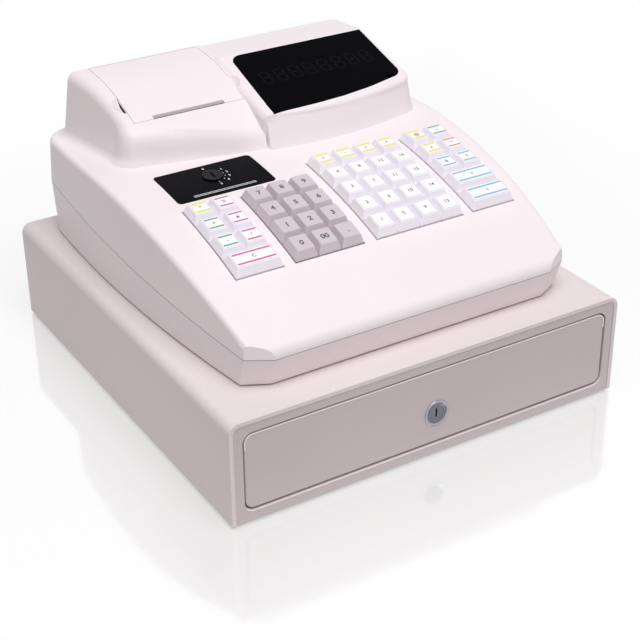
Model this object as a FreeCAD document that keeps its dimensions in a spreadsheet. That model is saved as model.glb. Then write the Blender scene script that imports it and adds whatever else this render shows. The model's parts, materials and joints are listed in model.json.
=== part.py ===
import FreeCAD, Part
import math
import os
import re
from FreeCAD import Placement, Rotation, Vector

# Electronic cash register with a receipt printer, standing on its cash drawer.
# Millimetres. X to the clerk's right, Y to the rear, Z up, origin on the table under the middle.

DOC = FreeCAD.newDocument("CashRegister")

SIZES = {
    # general
    "overrun": 5.0,
    "seat_gap": 0.3,
    "pin_gap": 0.06,
    # drawer cabinet
    "foot_height": 2.0,
    "foot_radius": 8.0,
    "foot_inset": 30.0,
    "foot_taper": 1.0,
    "cabinet_width": 330.0,
    "cabinet_depth": 355.0,
    "cabinet_height": 80.5,
    "cabinet_wall": 3.0,
    "cabinet_edge_radius": 8.0,
    "base_plate_thickness": 1.5,
    # front bezel and drawer front
    "bezel_depth": 12.0,
    "bezel_setback": 0.5,
    "bezel_corner_radius": 4.0,
    "opening_side_bar": 7.1,
    "opening_bottom_bar": 8.0,
    "opening_height": 62.5,
    "opening_corner_radius": 8.0,
    "drawer_gap": 1.2,
    "drawer_front_setback": 0.8,
    "drawer_front_depth": 9.5,
    "drawer_front_wall": 2.5,
    "drawer_front_edge": 1.2,
    "drawer_rib_thickness": 2.0,
    "drawer_rib_spacing": 76.0,
    # drawer tray
    "tray_side_space": 21.0,
    "tray_thickness": 1.2,
    "tray_wall_height": 50.0,
    "tray_rise": 1.5,
    "tray_partition_setback": 16.0,
    "tray_rear_space": 34.5,
    "strike_depth": 13.0,
    "strike_half_width": 14.0,
    "strike_height": 20.0,
    "strike_slot_half_width": 7.5,
    "strike_slot_depth": 6.0,
    "strike_slot_setback": 3.5,
    # telescopic slides
    "slide_centre_height": 25.0,
    "slide_rear_space": 35.0,
    "slide_setback": 5.0,
    "slide_sheet": 1.4,
    "outer_rail_depth": 15.0,
    "outer_rail_half_height": 17.5,
    "middle_rail_depth": 9.0,
    "middle_rail_half_height": 15.5,
    "inner_rail_depth": 8.0,
    "inner_rail_half_height": 11.0,
    "rail_ball_gap": 0.5,
    # drawer lock
    "lock_offset": 1.8,
    "lock_height": 33.5,
    "lock_body_radius": 8.6,
    "lock_rim_radius": 10.2,
    "lock_rim_proud": 0.8,
    "lock_rim_lip": 1.2,
    "lock_nut_radius": 12.0,
    "lock_nut_thickness": 2.2,
    "lock_plug_radius": 6.0,
    "lock_plug_recess": 1.0,
    "key_slot_width": 1.3,
    "key_slot_height": 7.0,
    "key_slot_depth": 8.0,
    "cam_thickness": 1.8,
    "cam_half_width": 6.0,
    "cam_reach": 29.0,
    "cam_notch_left": 8.0,
    "cam_notch_right": 21.0,
    # latch
    "solenoid_half_width": 15.0,
    "solenoid_length": 20.0,
    "solenoid_height": 20.0,
    "solenoid_coil_radius": 9.0,
    "latch_pivot_setback": 9.0,
    "latch_pivot_rise": 6.6,
    "latch_pin_radius": 1.5,
    "latch_half_width": 5.0,
    "latch_arm_thickness": 3.0,
    "latch_hook_depth": 4.2,
    "latch_hook_thickness": 2.6,
    "latch_bracket_thickness": 1.6,
    # till insert
    "till_gap": 0.6,
    "till_wall": 2.0,
    "till_height": 42.0,
    "till_floor": 1.8,
    "coin_length": 117.6,
    "coin_cup_depth": 34.0,
    "clip_pivot_inset": 9.0,
    "clip_pivot_drop": 5.0,
    "clip_pin_radius": 2.0,
    "clip_half_width": 6.0,
    "clip_arm_thickness": 2.6,
    "clip_arm_length": 74.0,
    "clip_roller_radius": 4.0,
    "clip_roller_half_length": 13.0,
    "clip_lug_thickness": 2.5,
    "clip_lug_gap": 0.4,
    # register body outline
    "register_lift": 1.6,
    "register_foot_radius": 9.0,
    "register_foot_side_inset": 44.0,
    "register_foot_end_inset": 20.0,
    "base_front": -148.1,
    "base_side_inset": 1.6,
    "belt_front": -155.7,
    "belt_side_margin": 22.9,
    "belt_height": 22.6,
    "belt_slope": 0.067,
    "base_rear": 172.0,
    "belt_rear": 174.0,
    "side_radius": 1285.0,
    "widest_station": 45.0,
    "chamfer_depth": 9.8,
    "chamfer_width": 18.8,
    "rear_corner_radius": 30.0,
    "body_draft": 0.05,
    "case_wall": 2.5,
    "case_edge_radius": 4.0,
    "case_top_reach": 140.0,
    # deck
    "deck_radius": 483.0,
    "deck_apex": 60.4,
    "deck_rise": 80.5,
    "deck_nose_radius": 10.0,
    "shoulder_drop": 3.6,
    # hood
    "hood_rise": 128.8,
    "hood_rear": 158.0,
    "hood_left_rear": 131.0,
    "hood_left_front": 119.5,
    "hood_right_rear": 128.5,
    "hood_right_front": 131.0,
    "hood_left_lean": 7.5,
    "hood_right_lean": 3.2,
    "hood_front_lean": 0.6,
    "hood_corner_station": 65.5,
    "hood_joint_station": 40.5,
    "hood_middle_station": 34.8,
    "hood_middle_place": 64.0,
    "hood_right_station": 45.0,
    "hood_corner_radius": 13.0,
    "hood_rear_corner_radius": 9.0,
    "hood_edge_radius": 8.0,
    "hood_wall": 3.5,
    "hood_inner_corner_radius": 9.0,
    "hood_joint": -11.5,
    "hood_foot_radius": 7.0,
    "printer_top_radius": 170.0,
    "printer_top_apex": 146.0,
    "display_break": 117.0,
    "display_fall": 3.0,
    "display_angle": 16.0,
    "display_edge_radius": 6.0,
    "display_front_radius": 3.0,
    # display window
    "window_thickness": 2.0,
    "window_gap": 0.25,
    "window_ledge": 3.0,
    "window_left_low": -2.5,
    "window_left_high": 0.5,
    "window_right": 123.4,
    "window_top_margin": 2.0,
    "window_left_depth": 75.5,
    "window_right_depth": 69.5,
    "window_corner_radius": 10.0,
    "digit_block_width": 50.0,
    "digit_block_height": 19.0,
    "digit_block_depth": 7.0,
    "digit_block_gap": 1.0,
    "digit_block_place": 66.0,
    "digit_block_depth_place": 38.0,
    "display_board_thickness": 1.6,
    "display_board_left": -6.8,
    "display_board_right": 118.0,
    "display_board_high": 18.0,
    "display_board_low": 58.0,
    "display_post_radius": 2.2,
    "display_post_inset": 3.0,
    # printer cover
    "cover_left": -105.6,
    "cover_front": 69.9,
    "cover_gap": 0.35,
    "cover_thickness": 2.5,
    "cover_rib_height": 5.0,
    "cover_rib_thickness": 1.6,
    "cover_barrel_radius": 3.0,
    "cover_hinge_place": 149.5,
    "cover_hinge_drop": 3.1,
    "cover_pin_radius": 1.2,
    "slot_left": -89.2,
    "slot_right": -28.6,
    "slot_depth": 3.1,
    "cover_pin_length": 4.0,
    "cover_rib_inset": 8.0,
    "scoop_radius": 13.0,
    "scoop_place": 86.0,
    "scoop_sink": 4.5,
    "scoop_left": -103.0,
    "scoop_right": -17.5,
    "scoop_lining": 2.0,
    # paper and printer
    "paper_width": 57.5,
    "paper_roll_radius": 29.0,
    "paper_core_radius": 7.0,
    "paper_place": 118.0,
    "paper_drop": 41.0,
    "bin_gap": 0.35,
    "bin_wall": 1.6,
    "printer_plate_thickness": 2.0,
    "printer_plate_rise": 4.0,
    "printer_plate_front": 68.5,
    "printer_plate_step": 5.0,
    "printer_side_gap": 0.8,
    "printer_post_radius": 4.5,
    "printer_post_inset": 6.0,
    "platen_radius": 6.0,
    "platen_shaft_radius": 2.0,
    "platen_place": 79.0,
    "platen_drop": 28.5,
    "platen_gear_radius": 9.0,
    "platen_gear_thickness": 4.0,
    "platen_tooth_height": 1.2,
    "head_thickness": 4.0,
    "head_height": 16.0,
    "head_gap": 0.3,
    # keyboard
    "key_column_pitch": 19.05,
    "key_row_pitch": 20.3,
    "key_gap": 0.6,
    "key_top_side_inset": 2.3,
    "key_top_front_inset": 3.1,
    "key_top_rear_inset": 1.5,
    "key_lip": 0.9,
    "key_height": 7.4,
    "key_skirt": 4.5,
    "key_wall": 1.6,
    "key_stem": 4.2,
    "key_stem_length": 12.2,
    "key_stem_gap": 0.3,
    "key_edge_radius": 0.9,
    "bank_bottom": -159.4,
    "left_bank_place": -112.2,
    "number_bank_space": 9.5,
    "department_bank_space": 10.65,
    "right_bank_space": 8.8,
    "bank_gap": 0.5,
    "switch_plate_drop": 9.0,
    "switch_plate_thickness": 1.6,
    "switch_plate_margin": 4.5,
    "switch_plate_lip": 5.0,
    "pillar_radius": 3.2,
    "pillar_front_arc": -148.0,
    "pillar_rear_arc": -84.0,
    # mode switch
    "panel_left": -109.6,
    "panel_right": -28.4,
    "panel_top": -24.6,
    "panel_bottom": -68.9,
    "panel_thickness": 0.7,
    "panel_corner_radius": 3.5,
    "mode_place": -68.7,
    "mode_arc": -42.7,
    "mode_body_radius": 12.0,
    "mode_body_length": 20.0,
    "mode_flange_width": 3.0,
    "mode_flange_thickness": 2.0,
    "rotor_radius": 8.0,
    "rotor_proud": 1.2,
    "rotor_length": 16.0,
    "rotor_slot_width": 1.6,
    "rotor_slot_length": 8.0,
    "rotor_slot_depth": 6.0,
    # boards and screws
    "floor_thickness": 2.5,
    "boss_radius": 4.5,
    "boss_height": 7.0,
    "board_thickness": 1.6,
    "board_left": -96.0,
    "board_right": 112.0,
    "board_front": -118.0,
    "board_rear": 24.0,
    "board_boss_inset": 10.0,
    "tongue_left": 62.0,
    "tongue_rear": 163.0,
    "chip_width": 28.0,
    "chip_height": 3.0,
    "capacitor_radius": 9.0,
    "capacitor_height": 24.0,
    "connector_length": 34.0,
    "connector_width": 8.0,
    "connector_height": 9.0,
    "jack_place": 86.0,
    "jack_half_width": 7.0,
    "jack_length": 17.0,
    "jack_height": 12.0,
    "jack_nozzle_radius": 4.6,
    "jack_bore_radius": 3.0,
    "screw_radius": 1.9,
    "screw_head_radius": 3.6,
    "screw_head_height": 2.0,
    "screw_length": 26.0,
    "screw_inset": 26.0,
    "screw_boss_radius": 5.5,
    "screw_boss_height": 15.0,
}

PLACES = {
    "cabinet_half": "cabinet_width / 2",
    "cabinet_front": "-cabinet_depth / 2",
    "cabinet_rear": "cabinet_depth / 2",
    "cabinet_top": "foot_height + cabinet_height",
    "cabinet_inner_half": "cabinet_half - cabinet_wall",
    "cabinet_inner_top": "cabinet_top - cabinet_wall",
    "cabinet_inner_rear": "cabinet_rear - cabinet_wall",
    "base_plate_top": "foot_height + base_plate_thickness",
    "bezel_front": "cabinet_front + bezel_setback",
    "bezel_back": "cabinet_front + bezel_depth",
    "opening_half_width": "cabinet_inner_half - opening_side_bar",
    "opening_low": "foot_height + opening_bottom_bar",
    "opening_high": "opening_low + opening_height",
    "drawer_front_face": "cabinet_front + drawer_front_setback",
    "drawer_front_back": "drawer_front_face + drawer_front_depth",
    "drawer_front_half": "opening_half_width - drawer_gap",
    "drawer_front_low": "opening_low + drawer_gap",
    "drawer_front_high": "opening_high - drawer_gap",
    "tray_half_width": "cabinet_inner_half - tray_side_space",
    "tray_floor_low": "opening_low + tray_rise",
    "tray_floor_high": "tray_floor_low + tray_thickness",
    "tray_high": "tray_floor_low + tray_wall_height",
    "tray_plate_back": "drawer_front_back + tray_thickness",
    "tray_partition": "drawer_front_back + tray_partition_setback",
    "tray_partition_back": "tray_partition + tray_thickness",
    "tray_rear": "cabinet_inner_rear - tray_rear_space",
    "tray_inner_rear": "tray_rear - tray_thickness",
    "tray_inner_half": "tray_half_width - tray_thickness",
    "slide_middle": "foot_height + slide_centre_height + cabinet_wall * 2",
    "slide_front": "bezel_back + slide_setback",
    "slide_rear": "cabinet_inner_rear - slide_rear_space",
    "inner_rail_out": "tray_half_width + inner_rail_depth",
    "middle_rail_out": "inner_rail_out + rail_ball_gap + slide_sheet",
    "middle_rail_in": "middle_rail_out - middle_rail_depth",
    "outer_rail_in": "cabinet_inner_half - outer_rail_depth",
    "lock_centre": "foot_height + lock_height",
    "lock_face": "drawer_front_face - lock_rim_proud",
    "lock_nut_back": "tray_plate_back + lock_nut_thickness",
    "cam_front": "lock_nut_back + seat_gap",
    "cam_back": "cam_front + cam_thickness",
    "strike_low": "foot_height + strike_height",
    "strike_high": "strike_low + tray_thickness",
    "strike_slot_front": "tray_rear + strike_slot_setback",
    "strike_slot_rear": "strike_slot_front + strike_slot_depth",
    "latch_pivot_y": "cabinet_inner_rear - latch_pivot_setback",
    "latch_pivot_z": "strike_high + latch_pivot_rise",
    "latch_hook_front": "strike_slot_front + strike_slot_depth / 2 - latch_hook_thickness / 2",
    "latch_hook_rear": "latch_hook_front + latch_hook_thickness",
    "latch_arm_low": "latch_pivot_z - latch_arm_thickness / 2",
    "latch_arm_high": "latch_pivot_z + latch_arm_thickness / 2",
    "solenoid_rear": "cabinet_inner_rear",
    "solenoid_front": "solenoid_rear - solenoid_length",
    "solenoid_top": "base_plate_top + solenoid_height",
    "till_half": "tray_inner_half - till_gap",
    "till_front": "tray_partition_back + till_gap",
    "till_rear": "tray_inner_rear - till_gap",
    "till_top": "tray_floor_high + till_height",
    "till_floor_top": "tray_floor_high + till_floor",
    "coin_front": "till_front + till_wall",
    "coin_rear": "coin_front + coin_length",
    "bill_front": "coin_rear + till_wall",
    "bill_rear": "till_rear - till_wall",
    "bill_width": "(2 * till_half - 5 * till_wall) / 4",
    "coin_width": "(2 * till_half - 6 * till_wall) / 5",
    "clip_pivot_y": "bill_rear - clip_pivot_inset",
    "clip_pivot_z": "till_top - clip_pivot_drop",
    "register_low": "cabinet_top + register_lift",
    "belt_front_z": "cabinet_top + register_lift + belt_height",
    "deck_top": "register_low + deck_rise",
    "deck_centre_z": "deck_top - deck_radius",
    "hood_top": "register_low + hood_rise",
    "floor_top": "register_low + floor_thickness",
    "board_low": "floor_top + boss_height",
    "board_top": "board_low + board_thickness",
    "jack_face": "base_rear - case_wall - seat_gap",
    "head_back": "platen_place - platen_radius - head_gap",
    "paper_z": "hood_top - paper_drop",
    "paper_middle": "(slot_left + slot_right) / 2",
    "paper_left": "paper_middle - paper_width / 2",
    "paper_right": "paper_middle + paper_width / 2",
    "platen_z": "hood_top - platen_drop",
    "printer_left": "paper_left - printer_side_gap",
    "printer_right": "paper_right + printer_side_gap",
    "printer_plate_left": "printer_left - printer_plate_thickness",
    "printer_plate_right": "printer_right + printer_plate_thickness",
    "bin_radius": "paper_roll_radius + bin_gap",
    "bin_low": "paper_z - bin_radius - bin_wall",
    "bin_front": "paper_place - bin_radius - bin_wall",
    "bin_rear": "paper_place + bin_radius + bin_wall",
    "printer_base_low": "bin_low - printer_plate_thickness",
    "gear_right": "printer_plate_left - printer_side_gap / 2",
    "gear_left": "gear_right - platen_gear_thickness",
    "cover_right": "hood_joint - cover_gap",
    "cover_hinge_z": "hood_top - cover_hinge_drop",
    "cover_rear": "cover_hinge_place + cover_barrel_radius",
    "number_bank_place": "left_bank_place + 2 * key_column_pitch + number_bank_space",
    "department_bank_place": "number_bank_place + 3 * key_column_pitch + department_bank_space",
    "right_bank_place": "department_bank_place + 4 * key_column_pitch + right_bank_space",
    "belt_half_width": "right_bank_place + 2 * key_column_pitch + belt_side_margin",
    "base_half_width": "belt_half_width - base_side_inset",
}

# columns and rows of keys in each bank
KEY_COUNTS = {"left": (2, 4), "number": (3, 4), "department": (4, 5), "right": (2, 5)}

ROUND_AXES = {
    "x": Rotation(Vector(0, 1, 0), 90),
    "y": Rotation(Vector(1, 0, 0), -90),
    "z": Rotation(),
}

NODES = []


def formula(text):
    """Rewrite plain size names as references to the two sheets."""
    def reference(match):
        name = match.group()
        sheet = "Sizes" if name in SIZES else "Places"
        return sheet + "." + name
    return re.sub(r"[a-z][a-z_]+", reference, text)


def make_sheets():
    sizes = DOC.addObject("Spreadsheet::Sheet", "Sizes")
    for row, (name, value) in enumerate(SIZES.items(), start=1):
        sizes.set(f"A{row}", name)
        sizes.set(f"B{row}", str(value))
        sizes.setAlias(f"B{row}", name)
    DOC.recompute()
    places = DOC.addObject("Spreadsheet::Sheet", "Places")
    for row, (name, text) in enumerate(PLACES.items(), start=1):
        places.set(f"A{row}", name)
        places.set(f"B{row}", "=" + formula(text))
        places.setAlias(f"B{row}", name)
        DOC.recompute()
    return sizes, places


class Values:
    """Numbers of both sheets, by name."""

    def __init__(self, sizes, places):
        self.sizes = sizes
        self.places = places

    def __getattr__(self, name):
        sheet = self.sizes if name in SIZES else self.places
        return float(getattr(sheet, name))


def both(half):
    """A span on both sides of the middle plane."""
    return (f"-({half})", half)


def around(centre, half):
    return (f"({centre}) - ({half})", f"({centre}) + ({half})")


def box(name, x, y, z):
    block = DOC.addObject("Part::Box", name)
    spans = zip(("Length", "Width", "Height"), "xyz", (x, y, z))
    for size, axis, (low, high) in spans:
        block.setExpression(size, formula(f"({high}) - ({low})"))
        block.setExpression("Placement.Base." + axis, formula(low))
    return block


def rod(name, axis, centre, radius, span):
    """A cylinder along an axis; centre gives its place on the other two axes, in x, y, z order."""
    low, high = span
    cylinder = DOC.addObject("Part::Cylinder", name)
    cylinder.Placement = Placement(Vector(), ROUND_AXES[axis])
    cylinder.setExpression("Radius", formula(radius))
    cylinder.setExpression("Height", formula(f"({high}) - ({low})"))
    others = iter(centre)
    for each in "xyz":
        place = low if each == axis else next(others)
        cylinder.setExpression("Placement.Base." + each, formula(place))
    return cylinder


def taper(name, axis, centre, radii, span):
    low, high = span
    cone = DOC.addObject("Part::Cone", name)
    cone.Placement = Placement(Vector(), ROUND_AXES[axis])
    cone.setExpression("Radius1", formula(radii[0]))
    cone.setExpression("Radius2", formula(radii[1]))
    cone.setExpression("Height", formula(f"({high}) - ({low})"))
    others = iter(centre)
    for each in "xyz":
        place = low if each == axis else next(others)
        cone.setExpression("Placement.Base." + each, formula(place))
    return cone


def group(name, pieces):
    compound = DOC.addObject("Part::Compound", name)
    compound.Links = list(pieces)
    return compound


def join(name, pieces):
    fusion = DOC.addObject("Part::MultiFuse", name)
    fusion.Shapes = list(pieces)
    fusion.Refine = True
    return fusion


def cut(name, base, tools):
    result = DOC.addObject("Part::Cut", name)
    result.Base = base
    result.Tool = tools[0] if len(tools) == 1 else join(name + "_tools", tools)
    return result


def rounded(name, base, radius, wanted):
    """Round the edges of base for which wanted(edge) holds."""
    DOC.recompute()
    numbers = [i for i, edge in enumerate(base.Shape.Edges, start=1) if wanted(edge)]
    fillet = DOC.addObject("Part::Fillet", name)
    fillet.Base = base
    fillet.Edges = [(i, radius, radius) for i in numbers]
    return fillet


def along(edge, axis):
    """True for a straight edge that runs along an axis, 0 for X, 1 for Y and 2 for Z."""
    box_size = edge.BoundBox
    lengths = (box_size.XLength, box_size.YLength, box_size.ZLength)
    others = [length for i, length in enumerate(lengths) if i != axis]
    return max(others) < lengths[axis] / 1e4


def feature(name, shape):
    result = DOC.addObject("Part::Feature", name)
    result.Shape = shape
    return result


def node(label, made):
    made.Label = label
    NODES.append(made)
    return made


# drawer cabinet


def make_cabinet(v):
    outer = box("cabinet_block", both("cabinet_half"), ("cabinet_front", "cabinet_rear"),
                ("foot_height", "cabinet_top"))
    top = v.cabinet_top - v.pin_gap
    outer = rounded("cabinet_rounded", outer, v.cabinet_edge_radius,
                    lambda e: along(e, 1) and e.CenterOfMass.z > top)
    inner = box("cabinet_hollow", both("cabinet_inner_half"),
                ("cabinet_front - overrun", "cabinet_inner_rear"),
                ("foot_height - overrun", "cabinet_inner_top"))
    inner_top = v.cabinet_inner_top - v.pin_gap
    inner = rounded("cabinet_hollow_rounded", inner, v.cabinet_edge_radius - v.cabinet_wall,
                    lambda e: along(e, 1) and e.CenterOfMass.z > inner_top)
    node("drawer_cabinet", cut("drawer_cabinet", outer, [inner]))
    node("cabinet_base", box("cabinet_base", both("cabinet_inner_half"),
                             ("bezel_back", "cabinet_inner_rear"), ("foot_height", "base_plate_top")))


def make_bezel(v):
    frame = box("bezel_block", both("cabinet_inner_half - seat_gap"), ("bezel_front", "bezel_back"),
                ("foot_height", "cabinet_inner_top - seat_gap"))
    middle = v.foot_height + v.opening_height / 2
    frame = rounded("bezel_rounded", frame, v.bezel_corner_radius,
                    lambda e: along(e, 1) and e.CenterOfMass.z > middle)
    mouth = box("bezel_mouth", both("opening_half_width"),
                ("bezel_front - overrun", "bezel_back + overrun"), ("opening_low", "opening_high"))
    mouth = rounded("bezel_mouth_rounded", mouth, v.opening_corner_radius, lambda e: along(e, 1))
    node("front_bezel", cut("front_bezel", frame, [mouth]))


def make_feet():
    feet = []
    for side, x in (("left", "foot_inset - cabinet_half"), ("right", "cabinet_half - foot_inset")):
        for end, y in (("front", "cabinet_front + foot_inset"), ("rear", "cabinet_rear - foot_inset")):
            feet.append(taper(f"foot_{side}_{end}", "z", (x, y), ("foot_radius - foot_taper", "foot_radius"),
                              ("0", "foot_height")))
    for side, x in (("left", "register_foot_side_inset - base_half_width"),
                    ("right", "base_half_width - register_foot_side_inset")):
        for end, y in (("front", "base_front + register_foot_end_inset"),
                       ("rear", "base_rear - register_foot_end_inset")):
            feet.append(taper(f"register_foot_{side}_{end}", "z", (x, y),
                              ("register_foot_radius - foot_taper", "register_foot_radius"),
                              ("cabinet_top", "register_low")))
    node("rubber_feet", group("rubber_feet", feet))


def make_drawer_front(v):
    panel = box("front_panel_block", both("drawer_front_half"), ("drawer_front_face", "drawer_front_back"),
                ("drawer_front_low", "drawer_front_high"))
    panel = rounded("front_panel_rounded", panel, v.opening_corner_radius - v.drawer_gap,
                    lambda e: along(e, 1))
    face = v.drawer_front_face
    panel = rounded("front_panel_softened", panel, v.drawer_front_edge,
                    lambda e: abs(e.BoundBox.YMax - face) < v.pin_gap)
    hollow = box("front_panel_hollow", both("drawer_front_half - drawer_front_wall * 2"),
                 ("drawer_front_face + drawer_front_wall", "drawer_front_back + overrun"),
                 ("drawer_front_low + drawer_front_wall * 2", "drawer_front_high - drawer_front_wall * 2"))
    hollow = rounded("front_panel_hollow_rounded", hollow, v.drawer_front_wall, lambda e: along(e, 1))
    shell = cut("front_panel_shell", panel, [hollow])
    ribs = []
    for number, share in enumerate((-1.5, -0.5, 0.5, 1.5), start=1):
        ribs.append(box(f"front_rib_{number}",
                        around(f"{share} * drawer_rib_spacing", "drawer_rib_thickness / 2"),
                        ("drawer_front_face + drawer_front_wall / 2", "drawer_front_back"),
                        ("drawer_front_low + drawer_front_wall", "drawer_front_high - drawer_front_wall")))
    boss = rod("front_lock_boss", "y", ("lock_offset", "lock_centre"), "lock_nut_radius",
               ("drawer_front_face + drawer_front_wall / 2", "drawer_front_back"))
    body = join("front_panel_ribbed", [shell, boss] + ribs)
    bore = rod("front_lock_bore", "y", ("lock_offset", "lock_centre"), "lock_body_radius + pin_gap",
               ("drawer_front_face - overrun", "drawer_front_back + overrun"))
    node("drawer_front", cut("drawer_front", body, [bore]))


def make_tray():
    outer = box("tray_block", both("tray_half_width"), ("drawer_front_back", "tray_rear"),
                ("tray_floor_low", "tray_high"))
    front_bay = box("tray_front_bay", both("tray_inner_half"), ("tray_plate_back", "tray_partition"),
                    ("tray_floor_high", "tray_high + overrun"))
    till_bay = box("tray_till_bay", both("tray_inner_half"), ("tray_partition_back", "tray_inner_rear"),
                   ("tray_floor_high", "tray_high + overrun"))
    bore = rod("tray_lock_bore", "y", ("lock_offset", "lock_centre"), "lock_body_radius + pin_gap",
               ("drawer_front_back - overrun", "tray_plate_back + tray_thickness"))
    cam_notch = box("tray_cam_notch", ("lock_offset - cam_notch_left", "lock_offset + cam_notch_right"),
                    ("tray_plate_back", "tray_partition"), ("tray_floor_low - overrun", "tray_floor_high"))
    open_box = cut("tray_box", outer, [front_bay, till_bay, bore, cam_notch])
    strike = box("strike_plate", both("strike_half_width"), ("tray_inner_rear", "tray_rear + strike_depth"),
                 ("strike_low", "strike_high"))
    slot = box("strike_slot", both("strike_slot_half_width"), ("strike_slot_front", "strike_slot_rear"),
               ("strike_low - overrun", "strike_high + overrun"))
    strike = cut("strike", strike, [slot])
    node("drawer_tray", join("drawer_tray", [open_box, strike]))


def channel(name, inside, outside, half_height, sheet, opens_out):
    """A folded rail with its web on one side and its open side on the other."""
    outer = box(name + "_block", (inside, outside), ("slide_front", "slide_rear"),
                around("slide_middle", half_height))
    low = f"({inside}) + {sheet}" if opens_out else f"({inside}) - overrun"
    high = f"({outside}) + overrun" if opens_out else f"({outside}) - {sheet}"
    hollow = box(name + "_hollow", (low, high), ("slide_front - overrun", "slide_rear + overrun"),
                 around("slide_middle", f"{half_height} - {sheet}"))
    return cut(name, outer, [hollow])


def mirrored(name, source):
    mirror = DOC.addObject("Part::Mirroring", name)
    mirror.Source = source
    mirror.Normal = Vector(1, 0, 0)
    return mirror


def make_slides():
    rails = (
        ("slide_outer_rails", "outer_rail_in", "cabinet_inner_half", "outer_rail_half_height", False),
        ("slide_middle_members", "middle_rail_in", "middle_rail_out", "middle_rail_half_height", False),
        ("slide_inner_members", "tray_half_width", "inner_rail_out", "inner_rail_half_height", True),
    )
    for label, inside, outside, half_height, opens_out in rails:
        right = channel(label + "_right", inside, outside, half_height, "slide_sheet", opens_out)
        left = mirrored(label + "_left", right)
        node(label, group(label, [right, left]))


def make_lock(v):
    centre = ("lock_offset", "lock_centre")
    body = rod("lock_barrel", "y", centre, "lock_body_radius", ("drawer_front_face", "lock_nut_back"))
    rim = rod("lock_rim", "y", centre, "lock_rim_radius", ("lock_face", "drawer_front_face"))
    face = v.lock_face
    rim = rounded("lock_rim_rounded", rim, v.lock_rim_proud - v.seat_gap,
                  lambda e: abs(e.BoundBox.YMax - face) < v.pin_gap)
    nut = rod("lock_nut", "y", centre, "lock_nut_radius", ("tray_plate_back", "lock_nut_back"))
    dish = taper("lock_dish", "y", centre, ("lock_rim_radius - lock_rim_lip", "lock_plug_radius"),
                 ("lock_face", "lock_face + lock_plug_recess"))
    bore = rod("lock_bore", "y", centre, "lock_plug_radius + pin_gap",
               ("lock_face - overrun", "lock_nut_back + overrun"))
    node("lock_housing", cut("lock_housing", join("lock_solid", [body, rim, nut]), [dish, bore]))
    plug = rod("plug_body", "y", centre, "lock_plug_radius", ("lock_face + lock_plug_recess", "cam_back"))
    slot = box("plug_slot", around("lock_offset", "key_slot_width / 2"),
               ("lock_face - overrun", "lock_face + lock_plug_recess + key_slot_depth"),
               around("lock_centre", "key_slot_height / 2"))
    socket = box("plug_tail_gap", around("lock_offset", "lock_plug_radius * 2"),
                 ("cam_front", "cam_back + overrun"), around("lock_centre", "lock_plug_radius * 2"))
    tail = rod("plug_tail", "y", centre, "lock_plug_radius / 2", ("cam_front - overrun", "cam_back"))
    plug = cut("plug_slotted", plug, [slot, socket])
    node("lock_plug", join("lock_plug", [plug, tail]))
    arm = box("cam_arm", ("lock_offset", "lock_offset + cam_reach"), ("cam_front", "cam_back"),
              around("lock_centre", "cam_half_width"))
    tip = v.lock_offset + v.cam_reach - v.pin_gap
    arm = rounded("cam_arm_rounded", arm, v.cam_half_width / 3,
                  lambda e: along(e, 1) and e.CenterOfMass.x > tip)
    hub = rod("cam_hub", "y", centre, "cam_half_width", ("cam_front", "cam_back"))
    eye = rod("cam_eye", "y", centre, "lock_plug_radius / 2", ("cam_front - overrun", "cam_back + overrun"))
    node("lock_cam", cut("lock_cam", join("cam_blank", [arm, hub]), [eye]))


def make_latch():
    frame = box("solenoid_frame", both("solenoid_half_width"), ("solenoid_front", "solenoid_rear"),
                ("base_plate_top", "solenoid_top"))
    window = box("solenoid_window", both("solenoid_half_width - latch_bracket_thickness"),
                 ("solenoid_front - overrun", "solenoid_rear + overrun"),
                 ("base_plate_top + latch_bracket_thickness", "solenoid_top - latch_bracket_thickness"))
    frame = cut("solenoid_yoke", frame, [window])
    middle = ("0", "(solenoid_front + solenoid_rear) / 2")
    coil = rod("solenoid_coil", "z", middle, "solenoid_coil_radius",
               ("base_plate_top + latch_bracket_thickness", "solenoid_top - latch_bracket_thickness"))
    ears = []
    for side, x in (("left", "-latch_half_width - seat_gap - latch_bracket_thickness"),
                    ("right", "latch_half_width + seat_gap")):
        ears.append(box(f"latch_ear_{side}", (x, f"({x}) + latch_bracket_thickness"),
                        ("latch_pivot_y - latch_arm_thickness", "solenoid_rear"),
                        ("solenoid_top", "latch_pivot_z + latch_arm_thickness")))
    pin = rod("latch_pin", "x", ("latch_pivot_y", "latch_pivot_z"), "latch_pin_radius",
              both("latch_half_width + seat_gap + latch_bracket_thickness"))
    node("latch_solenoid", join("latch_solenoid", [frame, coil, pin] + ears))
    arm = box("latch_arm", both("latch_half_width"), ("latch_hook_front", "latch_pivot_y"),
              ("latch_arm_low", "latch_arm_high"))
    hub = rod("latch_hub", "x", ("latch_pivot_y", "latch_pivot_z"), "latch_arm_thickness",
              both("latch_half_width"))
    hook = box("latch_hook", both("latch_half_width"), ("latch_hook_front", "latch_hook_rear"),
               ("latch_arm_low - latch_hook_depth", "latch_arm_high"))
    eye = rod("latch_eye", "x", ("latch_pivot_y", "latch_pivot_z"), "latch_pin_radius + pin_gap",
              both("latch_half_width + overrun"))
    node("latch_lever", cut("latch_lever", join("latch_blank", [arm, hub, hook]), [eye]))


# till and its clips


def bill_left(number):
    return f"-till_half + till_wall + {number} * (bill_width + till_wall)"


def coin_left(number):
    return f"-till_half + till_wall + {number} * (coin_width + till_wall)"


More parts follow.
